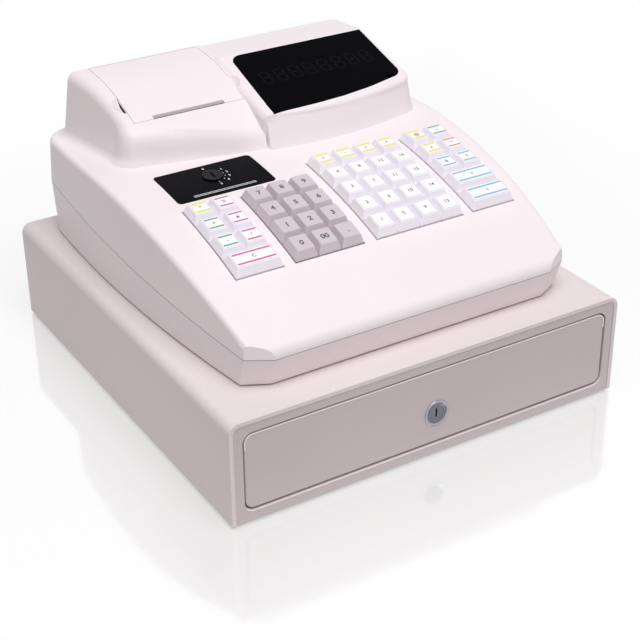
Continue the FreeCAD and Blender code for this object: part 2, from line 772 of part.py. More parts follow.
def make_till():
    block = box("till_block", both("till_half"), ("till_front", "till_rear"),
                ("tray_floor_high", "till_top"))
    cuts = []
    lugs = []
    for number in range(4):
        left = bill_left(number)
        middle = f"({left}) + bill_width / 2"
        cuts.append(box(f"bill_bay_{number + 1}", (left, f"({left}) + bill_width"),
                        ("bill_front", "bill_rear"), ("till_floor_top", "till_top + overrun")))
        for side, inner in (("left", f"({middle}) - clip_half_width - clip_lug_gap - clip_lug_thickness"),
                            ("right", f"({middle}) + clip_half_width + clip_lug_gap")):
            lugs.append(box(f"clip_lug_{number + 1}_{side}", (inner, f"({inner}) + clip_lug_thickness"),
                            ("clip_pivot_y - clip_pin_radius * 2", "bill_rear"),
                            ("clip_pivot_z - clip_pin_radius * 3", "till_top")))
        lugs.append(rod(f"clip_pin_{number + 1}", "x", ("clip_pivot_y", "clip_pivot_z"), "clip_pin_radius",
                        around(middle, "clip_half_width + clip_lug_gap + clip_lug_thickness")))
    scoop = "((coin_rear - coin_front) ^ 2 / 4 + coin_cup_depth ^ 2) / (2 * coin_cup_depth)"
    for number in range(5):
        left = coin_left(number)
        cuts.append(rod(f"coin_cup_{number + 1}", "x",
                        ("(coin_front + coin_rear) / 2", f"till_top - coin_cup_depth + {scoop}"), scoop,
                        (left, f"({left}) + coin_width")))
    node("till_insert", join("till_insert", [cut("till_tray", block, cuts)] + lugs))


def make_clips(v):
    length = v.clip_arm_length
    drop = v.clip_pivot_z - v.till_floor_top - v.clip_roller_radius - v.seat_gap
    angle = math.degrees(math.asin(drop / length))
    for number in range(4):
        middle = f"({bill_left(number)}) + bill_width / 2"
        name = f"bill_clip_{number + 1}"
        arm = box(name + "_arm", around(middle, "clip_half_width"),
                  ("clip_pivot_y - clip_arm_length", "clip_pivot_y"),
                  around("clip_pivot_z", "clip_arm_thickness / 2"))
        hub = rod(name + "_hub", "x", ("clip_pivot_y", "clip_pivot_z"), "clip_pin_radius * 1.8",
                  around(middle, "clip_half_width"))
        roller = rod(name + "_roller", "x", ("clip_pivot_y - clip_arm_length", "clip_pivot_z"),
                     "clip_roller_radius", around(middle, "clip_roller_half_length"))
        eye = rod(name + "_eye", "x", ("clip_pivot_y", "clip_pivot_z"), "clip_pin_radius + pin_gap",
                  around(middle, "clip_half_width + overrun"))
        clip = cut(name, join(name + "_blank", [arm, hub, roller]), [eye])
        pivot = Vector(0, v.clip_pivot_y, v.clip_pivot_z)
        clip.Placement = Placement(Vector(), Rotation(Vector(1, 0, 0), angle), pivot)
        node(name, clip)


# register casing


def side_place(v, half_width, y):
    """Half width of the gently bulging side at a station y."""
    return half_width - (y - v.widest_station) ** 2 / (2 * v.side_radius)


def mitre(point, before, after, inset):
    """Move a corner inward so that both its edges move by inset."""
    first = (point - before).normalize()
    second = (after - point).normalize()
    normal_one = Vector(-first.y, first.x, 0)
    normal_two = Vector(-second.y, second.x, 0)
    return point + (normal_one + normal_two) * (inset / (1 + normal_one.dot(normal_two)))


def body_outline(v, front, rear, half_width, inset, level):
    """Closed plan outline of the register; level(y) gives the height of each corner."""
    shoulder = front + v.chamfer_depth
    corner = Vector(side_place(v, half_width, shoulder), shoulder, 0)
    start = Vector(corner.x - v.chamfer_width, front, 0)
    widest = Vector(half_width - inset, v.widest_station, 0)
    turn = rear - v.rear_corner_radius
    side_end = side_place(v, half_width, turn)
    centre = Vector(side_end - v.rear_corner_radius, turn, 0)
    reach = v.rear_corner_radius - inset
    mirror = Vector(-start.x, start.y, 0)
    start = mitre(start, mirror, corner, inset)
    corner = mitre(corner, Vector(corner.x - v.chamfer_width, front, 0),
                   Vector(half_width, v.widest_station, 0), inset)
    end = Vector(side_end - inset, turn, 0)
    diagonal = centre + Vector(reach, reach, 0) * math.sqrt(0.5)
    back = Vector(centre.x, rear - inset, 0)
    right = [start, corner, widest, end, diagonal, back]
    left = [Vector(-p.x, p.y, 0) for p in right]
    a, b, m, c, n, e = [Vector(p.x, p.y, level(p.y)) for p in right]
    la, lb, lm, lc, ln, le = [Vector(p.x, p.y, level(p.y)) for p in left]
    edges = [
        Part.makeLine(la, a),
        Part.makeLine(a, b),
        Part.Arc(b, m, c).toShape(),
        Part.Arc(c, n, e).toShape(),
        Part.makeLine(e, le),
        Part.Arc(le, ln, lc).toShape(),
        Part.Arc(lc, lm, lb).toShape(),
        Part.makeLine(lb, la),
    ]
    return Part.Wire(edges)


def belt_level(v):
    return lambda y: v.belt_front_z + v.belt_slope * (y - v.belt_front)


def profile_face(points_and_arcs):
    """Face in the YZ plane; each item is a (y, z) point, or (middle, end) for an arc."""
    edges = []
    here = Vector(0, *points_and_arcs[0])
    first = here
    for item in points_and_arcs[1:]:
        if isinstance(item[0], tuple):
            middle, end = (Vector(0, *p) for p in item)
            edges.append(Part.Arc(here, middle, end).toShape())
            here = end
        else:
            end = Vector(0, *item)
            edges.append(Part.makeLine(here, end))
            here = end
    if (here - first).Length > first.Length / 1e9:
        edges.append(Part.makeLine(here, first))
    return Part.Face(Part.Wire(edges))


def prism(face, left, right):
    slab = face.copy()
    slab.translate(Vector(left, 0, 0))
    return slab.extrude(Vector(right - left, 0, 0))


def deck_point(v, arc, sink=0.0):
    """Place on the deck curve at an arc length from its top, sunk along the normal."""
    turn = arc / v.deck_radius
    reach = v.deck_radius - sink
    return (v.deck_apex + reach * math.sin(turn), v.deck_centre_z + reach * math.cos(turn))


def deck_face(v, inset, low):
    """Side view of the register under its deck, moved inward by inset."""
    radius = v.deck_radius - inset
    nose = v.deck_nose_radius - inset
    front = v.belt_front + inset
    nose_y = front + nose
    nose_z = v.deck_centre_z + math.sqrt((radius - nose) ** 2 - (nose_y - v.deck_apex) ** 2)
    lean = math.atan2(nose_y - v.deck_apex, nose_z - v.deck_centre_z)
    half_lean = (lean - math.pi / 2) / 2
    touch = (v.deck_apex + radius * math.sin(lean), v.deck_centre_z + radius * math.cos(lean))
    nose_middle = (nose_y + nose * math.sin(half_lean), nose_z + nose * math.cos(half_lean))
    deck_middle = (v.deck_apex + radius * math.sin(lean / 2), v.deck_centre_z + radius * math.cos(lean / 2))
    apex = (v.deck_apex, v.deck_top - inset)
    rear = v.belt_rear + v.overrun
    return profile_face([
        (front, low),
        (front, nose_z),
        (nose_middle, touch),
        (deck_middle, apex),
        (rear, v.deck_top - v.shoulder_drop - inset),
        (rear, low),
    ])


def body_solid(v, inset, sink):
    """Main body of the upper casing above the belt, moved inward by inset and started lower by sink."""
    level = belt_level(v)
    top = v.register_low + v.case_top_reach
    draft = v.body_draft * (top - v.belt_front_z)
    low = body_outline(v, v.belt_front, v.belt_rear, v.belt_half_width, inset, lambda y: level(y) - sink)
    high = body_outline(v, v.belt_front, v.belt_rear, v.belt_half_width, inset + draft, lambda y: top)
    shaft = Part.makeLoft([low, high], True, True)
    return shaft.common(prism(deck_face(v, inset, v.register_low), -v.cabinet_width, v.cabinet_width))


def hood_outline(v, z, lean, inset):
    """Plan outline of the raised hood at height z; lean is the share of its full inward lean."""
    rear = v.hood_rear - inset
    left = lean * v.hood_left_lean + inset
    right = lean * v.hood_right_lean + inset
    step = lean * v.hood_front_lean + inset
    rear_left = Vector(left - v.hood_left_rear, rear, z)
    front_left = Vector(left - v.hood_left_front, v.hood_corner_station + step, z)
    joint = Vector(v.hood_joint, v.hood_joint_station + step, z)
    middle = Vector(v.hood_middle_place, v.hood_middle_station + step, z)
    front_right = Vector(v.hood_right_front - right, v.hood_right_station + step, z)
    rear_right = Vector(v.hood_right_rear - right, rear, z)
    return Part.Wire([
        Part.makeLine(rear_left, front_left),
        Part.makeLine(front_left, joint),
        Part.Arc(joint, middle, front_right).toShape(),
        Part.makeLine(front_right, rear_right),
        Part.makeLine(rear_right, rear_left),
    ])


def upright(edge):
    box_size = edge.BoundBox
    return box_size.ZLength > max(box_size.XLength, box_size.YLength) * 2


def hood_shaft(v, inset, low):
    high = v.hood_top + v.overrun
    rise = v.hood_top - v.deck_top
    wires = [hood_outline(v, z, (z - v.deck_top) / rise, inset) for z in (low, high)]
    shaft = Part.makeLoft(wires, True, True)
    front = v.hood_corner_station * 1.2
    side = v.hood_left_front / 2
    radius = v.hood_corner_radius if inset == 0 else v.hood_inner_corner_radius
    fronts = [e for e in shaft.Edges
              if upright(e) and e.CenterOfMass.y < front and abs(e.CenterOfMass.x) > side]
    shaft = shaft.makeFillet(radius, fronts)
    rears = [e for e in shaft.Edges if upright(e) and e.CenterOfMass.y > v.hood_rear - inset - v.overrun]
    return shaft.makeFillet(v.hood_rear_corner_radius - inset, rears)


def printer_roof(v, sink, low):
    """Side view under the rounded roof of the printer half."""
    front = v.hood_middle_station - v.overrun
    rear = v.hood_rear + v.overrun
    middle = (front + rear) / 2
    return profile_face([
        (front, low),
        (front, printer_height(v, front, sink)),
        ((middle, printer_height(v, middle, sink)), (rear, printer_height(v, rear, sink))),
        (rear, low),
    ])


def display_roof(v, sink, low):
    """Side view under the sloping display half."""
    slope = math.tan(math.radians(v.display_angle))
    front = v.hood_middle_station - v.overrun
    rear = v.hood_rear + v.overrun
    drop = sink / math.cos(math.radians(v.display_angle))
    return profile_face([
        (front, low),
        (front, v.hood_top - (v.display_break - front) * slope - drop),
        (v.display_break, v.hood_top - drop),
        (rear, v.hood_top - v.display_fall - sink),
        (rear, low),
    ])


def top_edges(solid, low, keep):
    """Edges where the roof meets the walls."""
    return [e for e in solid.Edges
            if not upright(e) and e.BoundBox.ZMin > low and keep(e.CenterOfMass)]


def hood_solid(v, inset):
    """Raised hood: a rounded printer half on the left and a sloping display half on the right."""
    low = v.floor_top + v.boss_height if inset > 0 else v.deck_top - v.deck_rise / 4
    shaft = hood_shaft(v, inset, low)
    printer = shaft.common(prism(printer_roof(v, inset, low), -v.cabinet_width, v.hood_joint + v.overrun))
    display = shaft.common(prism(display_roof(v, inset, low), v.hood_joint + inset, v.cabinet_width))
    if inset > 0:
        return printer.fuse(display).removeSplitter()
    roof = v.deck_top + v.hood_foot_radius
    joint = v.hood_joint + v.overrun - v.seat_gap
    printer = printer.makeFillet(v.hood_edge_radius, top_edges(printer, roof, lambda c: c.x < joint))
    display = display.makeFillet(v.display_edge_radius, top_edges(display, roof, lambda c: c.x < joint))
    left = v.hood_joint + v.display_edge_radius * 1.5
    display = display.makeFillet(v.display_front_radius, top_edges(
        display, roof, lambda c: c.x > left and abs(c.y - v.display_break) > v.seat_gap))
    return printer.fuse(display).removeSplitter()


def window_outline(v, grow):
    """Outline of the display window in its own sloping plane, origin at the break line of the roof."""
    left_low = Vector(v.window_left_low - grow, -v.window_left_depth - grow, 0)
    left_high = Vector(v.window_left_high - grow, -v.window_top_margin + grow, 0)
    right_high = Vector(v.window_right + grow, -v.window_top_margin + grow, 0)
    right_low = Vector(v.window_right + grow, -v.window_right_depth - grow, 0)
    return Part.makePolygon([left_low, left_high, right_high, right_low, left_low])


def window_solid(v, grow, low, high):
    face = Part.Face(window_outline(v, grow))
    slab = face.extrude(Vector(0, 0, high - low))
    slab.translate(Vector(0, 0, low))
    uprights = [e for e in slab.Edges if upright(e)]
    middle = (v.window_left_high + v.window_right) / 2
    half_depth = -v.window_right_depth / 2
    big = [e for e in uprights if (e.CenterOfMass.x - middle) * (e.CenterOfMass.y - half_depth) < 0]
    slab = slab.makeFillet(v.window_corner_radius, big)
    slab.Placement = display_plane(v)
    return slab


def display_plane(v):
    return Placement(Vector(0, v.display_break, v.hood_top), Rotation(Vector(1, 0, 0), v.display_angle))


def bank_place(v, bank):
    """Left side of a bank of keys."""
    return getattr(v, bank + "_bank_place")


def bank_solid(v, bank, gap, sink_low, sink_high):
    """Block over one bank of keys, following the deck between two depths."""
    columns, rows = KEY_COUNTS[bank]
    left = bank_place(v, bank) - gap
    right = bank_place(v, bank) + columns * v.key_column_pitch + gap
    start = v.bank_bottom - gap
    end = v.bank_bottom + rows * v.key_row_pitch + gap
    return deck_block(v, left, right, start, end, sink_low, sink_high)


def deck_block(v, left, right, start, end, sink_low, sink_high):
    """Block between two arc lengths and two depths below the deck curve."""
    middle = (start + end) / 2
    face = profile_face([
        deck_point(v, start, sink_low),
        deck_point(v, start, sink_high),
        (deck_point(v, middle, sink_high), deck_point(v, end, sink_high)),
        deck_point(v, end, sink_low),
        (deck_point(v, middle, sink_low), deck_point(v, start, sink_low)),
    ])
    return prism(face, left, right)


def deck_placement(v, x, arc, sink=0.0):
    y, z = deck_point(v, arc, sink)
    return Placement(Vector(x, y, z), Rotation(Vector(1, 0, 0), -math.degrees(arc / v.deck_radius)))


def panel_block(v, gap, sink_low, sink_high):
    block = deck_block(v, v.panel_left - gap, v.panel_right + gap, v.panel_bottom - gap, v.panel_top + gap,
                       sink_low, sink_high)
    uprights = [e for e in block.Edges if along_normal(v, e)]
    return block.makeFillet(v.panel_corner_radius, uprights)


def along_normal(v, edge):
    box_size = edge.BoundBox
    return box_size.XLength < v.pin_gap and box_size.YLength < v.case_wall * 2


def cover_hole(v, grow):
    """Upright block through the roof where the printer cover sits."""
    left = v.cover_left - grow
    right = v.cover_right + grow
    front = v.cover_front - grow
    rear = v.cover_rear + grow
    low = v.deck_top - v.deck_rise / 4
    return Part.makeBox(right - left, rear - front, v.hood_top - low + v.overrun, Vector(left, front, low))


def finger_balls(v, grow):
    """Rounded hollows beside the cover, where fingers reach under its edges."""
    height = printer_height(v, v.scoop_place) + v.scoop_radius - v.scoop_sink
    return [Part.makeSphere(v.scoop_radius + grow, Vector(x, v.scoop_place, height))
            for x in (v.scoop_left, v.scoop_right)]


def drum(v, radius, y, z, left, right):
    return Part.makeCylinder(radius, right - left, Vector(left, y, z), Vector(1, 0, 0))


def printer_height(v, y, sink=0.0):
    """Height at a station y of the rounded printer roof, or of a surface sunk under it."""
    radius = v.printer_top_radius
    return v.hood_top - radius + math.sqrt((radius - sink) ** 2 - (y - v.printer_top_apex) ** 2)


def on_belt(v, edge):
    level = belt_level(v)
    return all(abs(vertex.Z - level(vertex.Y)) < v.pin_gap for vertex in edge.Vertexes)


def body_shell_block(v):
    """Main body with its side and rear deck edges softened."""
    body = body_solid(v, 0.0, 0.0)
    side = v.belt_half_width - v.chamfer_width
    rear = v.belt_rear - v.rear_corner_radius
    front = v.belt_front + v.chamfer_depth * 2
    rims = [e for e in body.Edges
            if not upright(e) and not on_belt(v, e) and e.CenterOfMass.y > front
            and (abs(e.CenterOfMass.x) > side or e.CenterOfMass.y > rear)]
    return body.makeFillet(v.case_edge_radius, rims)


def hood_foot(v, edge):
    """True for an edge where the hood stands on the deck."""
    if edge.BoundBox.YLength < v.pin_gap and abs(edge.CenterOfMass.y - v.deck_apex) < v.pin_gap:
        return False
    fall = v.shoulder_drop / (v.belt_rear + v.overrun - v.deck_apex)
    for share in (0.02, 0.5, 0.98):
        point = edge.valueAt(edge.FirstParameter + (edge.LastParameter - edge.FirstParameter) * share)
        on_curve = abs(math.hypot(point.y - v.deck_apex, point.z - v.deck_centre_z) - v.deck_radius)
        on_slope = abs(v.deck_top - fall * (point.y - v.deck_apex) - point.z)
        if (on_curve if point.y < v.deck_apex else on_slope) > v.seat_gap:
            return False
    middle = edge.CenterOfMass
    return (-v.hood_left_rear - v.seat_gap < middle.x < v.hood_right_front + v.seat_gap
            and v.hood_middle_station - v.seat_gap < middle.y < v.hood_rear + v.seat_gap)


def case_posts(v):
    """Posts inside the upper casing, for the screws from below and for the key switch plate."""
    posts = []
    low = v.floor_top + v.screw_boss_height
    for x, y in screw_places(v):
        posts.append(Part.makeCylinder(v.screw_boss_radius, v.deck_top - low, Vector(x, y, low)))
    sinks = v.switch_plate_drop - v.pin_gap - v.case_wall / 2
    for x in pillar_lines(v):
        for arc in (v.pillar_front_arc, v.pillar_rear_arc):
            pillar = Part.makeCylinder(v.pillar_radius, sinks, Vector(0, 0, v.pin_gap - v.switch_plate_drop))
            pillar.Placement = deck_placement(v, x, arc)
            posts.append(pillar)
    return posts


def pillar_lines(v):
    """Middle lines of the bars between the banks of keys."""
    places = [(bank_place(v, bank), columns) for bank, (columns, _) in KEY_COUNTS.items()]
    lines = []
    for (before, columns), (after, _) in zip(places, places[1:]):
        lines.append((before + columns * v.key_column_pitch + after) / 2)
    return lines


def screw_pilots(v):
    depth = v.screw_length + v.overrun
    return [Part.makeCylinder(v.screw_radius + v.pin_gap, depth, Vector(x, y, v.register_low))
            for x, y in screw_places(v)]


def make_upper_case(v, hood):
    outer = body_shell_block(v).fuse(hood).removeSplitter()
    outer = outer.makeFillet(v.hood_foot_radius, [e for e in outer.Edges if hood_foot(v, e)])
    hollow = body_solid(v, v.case_wall, v.overrun).fuse(hood_solid(v, v.hood_wall))
    shell = outer.cut(hollow)
    linings = [ball.common(outer) for ball in finger_balls(v, v.scoop_lining)]
    shell = shell.fuse([post.common(outer) for post in case_posts(v)] + linings)
    tools = [cover_hole(v, v.cover_gap)]
    for bank in KEY_COUNTS:
        tools.append(bank_solid(v, bank, v.bank_gap, v.case_wall * 2, -v.overrun))
    tools.append(window_solid(v, v.window_gap, -v.window_thickness, v.overrun))
    tools.append(window_solid(v, -v.window_ledge, -v.hood_wall * 2, v.overrun))
    tools.append(panel_block(v, v.window_gap, v.panel_thickness, -v.overrun))
    tools.append(mode_rod(v, v.mode_body_radius + v.pin_gap, -v.case_wall * 2, v.overrun))
    shell = shell.cut(tools + finger_balls(v, 0.0) + screw_pilots(v))
    pins = []
    reach = v.cover_pin_length + v.cover_gap
    for x in (v.cover_left - v.cover_gap - v.hood_wall / 2, v.cover_right + v.cover_gap - reach):
        pins.append(drum(v, v.cover_pin_radius, v.cover_hinge_place, v.cover_hinge_z, x,
                         x + reach + v.hood_wall / 2))
    node("upper_case", feature("upper_case", shell.fuse(pins)))


def make_cover(v, hood):
    blank = hood.common(cover_hole(v, 0.0))
    inner = prism(printer_roof(v, v.cover_thickness, v.register_low), v.cover_left, v.cover_right)
    behind = v.cover_hinge_place
    rear = Part.makeBox(v.cabinet_width, v.cabinet_depth, v.cabinet_width,
                        Vector(-v.cabinet_width, behind, v.register_low))
    front_reach = math.hypot(behind - v.cover_front, v.cover_hinge_z - printer_height(v, v.cover_front))
    sweep = drum(v, front_reach, behind, v.cover_hinge_z, v.cover_left, v.cover_right)
    lid = blank.cut([inner, rear]).common(sweep)
    rib_front = v.cover_front + v.cover_rib_inset
    ribs = []
    for x in (v.cover_left + v.cover_rib_inset, v.cover_right - v.cover_rib_inset):
        rib = prism(printer_roof(v, v.cover_thickness / 2, v.register_low), x, x + v.cover_rib_thickness)
        below = prism(printer_roof(v, v.cover_thickness + v.cover_rib_height, v.register_low),
                      x - v.overrun, x + v.overrun)
        keep = Part.makeBox(v.cabinet_width, behind - rib_front, v.cabinet_width,
                            Vector(-v.cabinet_width, rib_front, v.register_low))
        ribs.append(rib.cut(below).common(keep))
    barrel = drum(v, v.cover_barrel_radius, behind, v.cover_hinge_z, v.cover_left, v.cover_right)
    notch = Part.makeBox(v.slot_right - v.slot_left, v.slot_depth + v.overrun, v.cabinet_width,
                         Vector(v.slot_left, v.cover_front - v.overrun, v.register_low))
    bores = []
    depth = v.cover_pin_length + v.seat_gap
    for x in (v.cover_left - v.overrun, v.cover_right - depth):
        bores.append(drum(v, v.cover_pin_radius + v.pin_gap, behind, v.cover_hinge_z, x,
                          x + depth + v.overrun))
    lid = lid.fuse(ribs + [barrel]).cut([notch] + bores)
    node("printer_cover", feature("printer_cover", lid))


def make_window(v):
    glass = window_solid(v, 0.0, -v.window_thickness, 0.0)
    node("display_window", feature("display_window", glass))
    module_top = -v.window_thickness - v.digit_block_gap
    board_top = module_top - v.digit_block_depth
    board_low = board_top - v.display_board_thickness
    board = Part.makeBox(v.display_board_right - v.display_board_left,
                         v.display_board_low - v.display_board_high, v.display_board_thickness,
                         Vector(v.display_board_left, -v.display_board_low, board_low))
    module = Part.makeBox(v.digit_block_width * 2, v.digit_block_height, v.digit_block_depth,
                          Vector(v.digit_block_place - v.digit_block_width,
                                 -v.digit_block_depth_place - v.digit_block_height / 2, board_top))
    posts = []
    inset = v.display_post_inset
    for x in (v.display_board_left + inset, v.display_board_right - inset):
        for y in (-v.display_board_low + inset, -v.display_board_high - inset):
            posts.append(Part.makeCylinder(v.display_post_radius, -v.hood_wall - board_top,
                                           Vector(x, y, board_top)))
    board = board.fuse([module] + posts)
    board.Placement = display_plane(v)
    node("display_board", feature("display_board", board))


def mode_rod(v, radius, low, high):
    """Cylinder at the mode switch, between two heights over the deck curve."""
    body = Part.makeCylinder(radius, high - low, Vector(0, 0, low))
    body.Placement = deck_placement(v, v.mode_place, v.mode_arc)
    return body


def make_mode_switch(v):
    panel = panel_block(v, 0.0, v.panel_thickness, 0.0)
    panel = panel.cut(mode_rod(v, v.rotor_radius + v.seat_gap, -v.overrun, v.overrun))
    node("mode_panel", feature("mode_panel", panel))
    top = -v.panel_thickness - v.seat_gap
    flange = -v.case_wall - v.seat_gap * 2
    body = mode_rod(v, v.mode_body_radius, -v.mode_body_length, top)
    body = body.fuse(mode_rod(v, v.mode_body_radius + v.mode_flange_width,
                              flange - v.mode_flange_thickness, flange))
    body = body.cut(mode_rod(v, v.rotor_radius + v.pin_gap, -v.rotor_length - v.seat_gap, v.overrun))
    node("mode_switch_body", feature("mode_switch_body", body))
    rotor = mode_rod(v, v.rotor_radius, -v.rotor_length, v.rotor_proud)
    slot = Part.makeBox(v.rotor_slot_width, v.rotor_slot_length, v.rotor_slot_depth + v.overrun,
                        Vector(-v.rotor_slot_width / 2, -v.rotor_slot_length / 2,
                               v.rotor_proud - v.rotor_slot_depth))
    slot.Placement = deck_placement(v, v.mode_place, v.mode_arc)
    node("mode_rotor", feature("mode_rotor", rotor.cut(slot)))


def make_lower_case(v):
    level = belt_level(v)
    low = body_outline(v, v.base_front, v.base_rear, v.base_half_width, 0.0, lambda y: v.register_low)
    belt = body_outline(v, v.belt_front, v.belt_rear, v.belt_half_width, 0.0, level)
    outer = Part.makeLoft([low, belt], True, True)
    wall = v.case_wall
    floor = body_outline(v, v.base_front, v.base_rear, v.base_half_width, wall, lambda y: v.floor_top)
    mouth = body_outline(v, v.belt_front, v.belt_rear, v.belt_half_width, wall,
                         lambda y: level(y) + v.seat_gap)
    shell = outer.cut(Part.makeLoft([floor, mouth], True, True))
    bosses = []
    holes = []
    for x, y in board_corners(v):
        bosses.append(Part.makeCylinder(v.boss_radius, v.boss_height, Vector(x, y, v.floor_top)))
    for x, y in screw_places(v):
        bosses.append(Part.makeCylinder(v.screw_boss_radius, v.screw_boss_height, Vector(x, y, v.floor_top)))
        holes.append(Part.makeCylinder(v.screw_radius + v.pin_gap, v.screw_length,
                                       Vector(x, y, v.register_low)))
        holes.append(Part.makeCylinder(v.screw_head_radius + v.pin_gap, v.screw_head_height,
                                       Vector(x, y, v.register_low)))
    for x, y in printer_post_places(v):
        bosses.append(Part.makeCylinder(v.printer_post_radius, v.printer_base_low - v.floor_top,
                                        Vector(x, y, v.floor_top)))
    holes.append(Part.makeCylinder(v.jack_nozzle_radius + v.pin_gap, v.overrun * 4,
                                   Vector(v.jack_place, v.base_rear - v.overrun * 2,
                                          v.board_top + v.jack_height / 2), Vector(0, 1, 0)))
    node("lower_case", feature("lower_case", shell.fuse(bosses).cut(holes)))


def board_corners(v):
    inset = v.board_boss_inset
    return [(x, y) for x in (v.board_left + inset, v.board_right - inset)
            for y in (v.board_front + inset, v.board_rear - inset)]


def screw_places(v):
    x = v.base_half_width - v.screw_inset
    return [(sign * x, y) for sign in (-1, 1)
            for y in (v.base_front + v.screw_inset, v.widest_station - v.screw_inset,
                      v.base_rear - v.screw_inset)]


def printer_post_places(v):
    inset = v.printer_post_inset
    return [(x, y) for x in (v.printer_plate_left + inset, v.printer_plate_right - inset)
            for y in (v.printer_plate_front + inset, v.bin_rear - inset)]


def make_screws(v):
    screws = []
    for x, y in screw_places(v):
        head = Part.makeCylinder(v.screw_head_radius, v.screw_head_height, Vector(x, y, v.register_low))
        shank = Part.makeCylinder(v.screw_radius, v.screw_length, Vector(x, y, v.register_low))
        screws.append(head.fuse(shank))
    node("case_screws", feature("case_screws", Part.makeCompound(screws)))


# keys


def key_places(v, bank):
    """Middle of every key of a bank, row by row from the front: (x, arc length)."""
    columns, rows = KEY_COUNTS[bank]
    left = bank_place(v, bank)
    return [[(left + (column + 0.5) * v.key_column_pitch, v.bank_bottom + (row + 0.5) * v.key_row_pitch)
             for column in range(columns)] for row in range(rows)]


def make_blank(v, name, columns, stem_places):
    """One hollow keycap around its own middle, with square stems below it."""
    half_width = f"({columns} * key_column_pitch - key_gap) / 2"
    half_depth = "(key_row_pitch - key_gap) / 2"
    skirt = box(name + "_skirt", both(half_width), both(half_depth), ("-key_skirt", "key_lip"))
    crown = DOC.addObject("Part::Wedge", name + "_crown")
    crown.Placement = Placement(Vector(), Rotation(Vector(1, 0, 0), 90))
    for sign, end, slope in (("-", "min", "key_top_rear_inset"), ("", "max", "key_top_front_inset")):
        crown.setExpression("X" + end, formula(f"{sign}({half_width})"))
        crown.setExpression("Z" + end, formula(f"{sign}({half_depth})"))
        crown.setExpression("X2" + end, formula(f"{sign}({half_width} - key_top_side_inset)"))
        crown.setExpression("Z2" + end, formula(f"{sign}({half_depth} - {slope})"))
    crown.setExpression("Ymin", formula("key_lip"))
    crown.setExpression("Ymax", formula("key_height"))
    cap = join(name + "_cap", [skirt, crown])
    cap = rounded(name + "_softened", cap, v.key_edge_radius, lambda e: e.CenterOfMass.z > v.key_lip)
    hollow = box(name + "_hollow", both(f"{half_width} - key_wall"), both(f"{half_depth} - key_wall"),
                 ("-key_skirt - overrun", "key_lip"))
    cap = cut(name + "_shell", cap, [hollow])
    stems = [box(f"{name}_stem_{number}", around(place, "key_stem / 2"), both("key_stem / 2"),
                 ("-key_stem_length", "key_lip + key_wall"))
             for number, place in enumerate(stem_places, start=1)]
    return join(name, [cap] + stems)


def placed(name, blank, placement):
    key = group(name, [blank])
    key.Placement = placement
    return key


def make_keys(v):
    single = make_blank(v, "single_key", 1, ["0"])
    wide = make_blank(v, "wide_key", 2, ["-key_column_pitch / 2", "key_column_pitch / 2"])

    def on_deck(x, arc):
        return deck_placement(v, x, arc)

    def wide_place(row):
        (first, arc), (second, _) = row[:2]
        return on_deck((first + second) / 2, arc)

    left = key_places(v, "left")
    node("key_left_wide", placed("key_left_wide", wide, wide_place(left[0])))
    for number, row in enumerate(left[1:], start=2):
        for letter, place in zip("ab", row):
            name = f"key_left_{number}{letter}"
            node(name, placed(name, single, on_deck(*place)))
    names = (("key_0", "key_00", "key_point"), ("key_1", "key_2", "key_3"),
             ("key_4", "key_5", "key_6"), ("key_7", "key_8", "key_9"))
    for row_names, row in zip(names, key_places(v, "number")):
        for name, place in zip(row_names, row):
            node(name, placed(name, single, on_deck(*place)))
    right = key_places(v, "right")
    for number in range(2):
        name = f"key_right_wide_{number + 1}"
        node(name, placed(name, wide, wide_place(right[number])))
    columns = [("keys_right", right[2:], column) for column in range(2)]
    columns += [("keys_department", key_places(v, "department"), column) for column in range(4)]
    for bank, rows, column in columns:
        name = f"{bank}_column_{column + 1}"
        keys = [placed(f"{name}_{number}", single, on_deck(*row[column]))
                for number, row in enumerate(rows, start=1)]
        node(name, group(name, keys))


def stem_places(v):
    """Every stem of every key: (x, arc length)."""
    return [place for bank in KEY_COUNTS for row in key_places(v, bank) for place in row]


def make_switch_plate(v):
    """Curved plate under the keys with a square hole for every stem."""
    drop = v.switch_plate_drop
    low = drop + v.switch_plate_thickness
    margin = v.switch_plate_margin
    lip = low + v.switch_plate_lip
    pitch = v.key_column_pitch
    left = v.left_bank_place - margin
    middle = v.number_bank_place + KEY_COUNTS["number"][0] * pitch + margin
    right = v.right_bank_place + KEY_COUNTS["right"][0] * pitch + margin
    start = v.bank_bottom - margin
    short = v.bank_bottom + KEY_COUNTS["number"][1] * v.key_row_pitch + margin
    long = v.bank_bottom + KEY_COUNTS["department"][1] * v.key_row_pitch + margin
    thin = v.switch_plate_thickness
    pieces = [
        deck_block(v, left, middle, start, short, low, drop),
        deck_block(v, middle - margin, right, start, long, low, drop),
        deck_block(v, left, right, start, start + thin, lip, drop),
        deck_block(v, left, middle, short - thin, short, lip, drop),
        deck_block(v, middle - margin, right, long - thin, long, lip, drop),
    ]
    hole = v.key_stem + 2 * v.key_stem_gap
    holes = []
    for x, arc in stem_places(v):
        tool = Part.makeBox(hole, hole, low + v.overrun, Vector(-hole / 2, -hole / 2, -low - v.overrun))
        tool.Placement = deck_placement(v, x, arc)
        holes.append(tool)
    plate = pieces[0].fuse(pieces[1:]).removeSplitter().cut(holes)
    node("keyboard_plate", feature("keyboard_plate", plate))


# board and printer


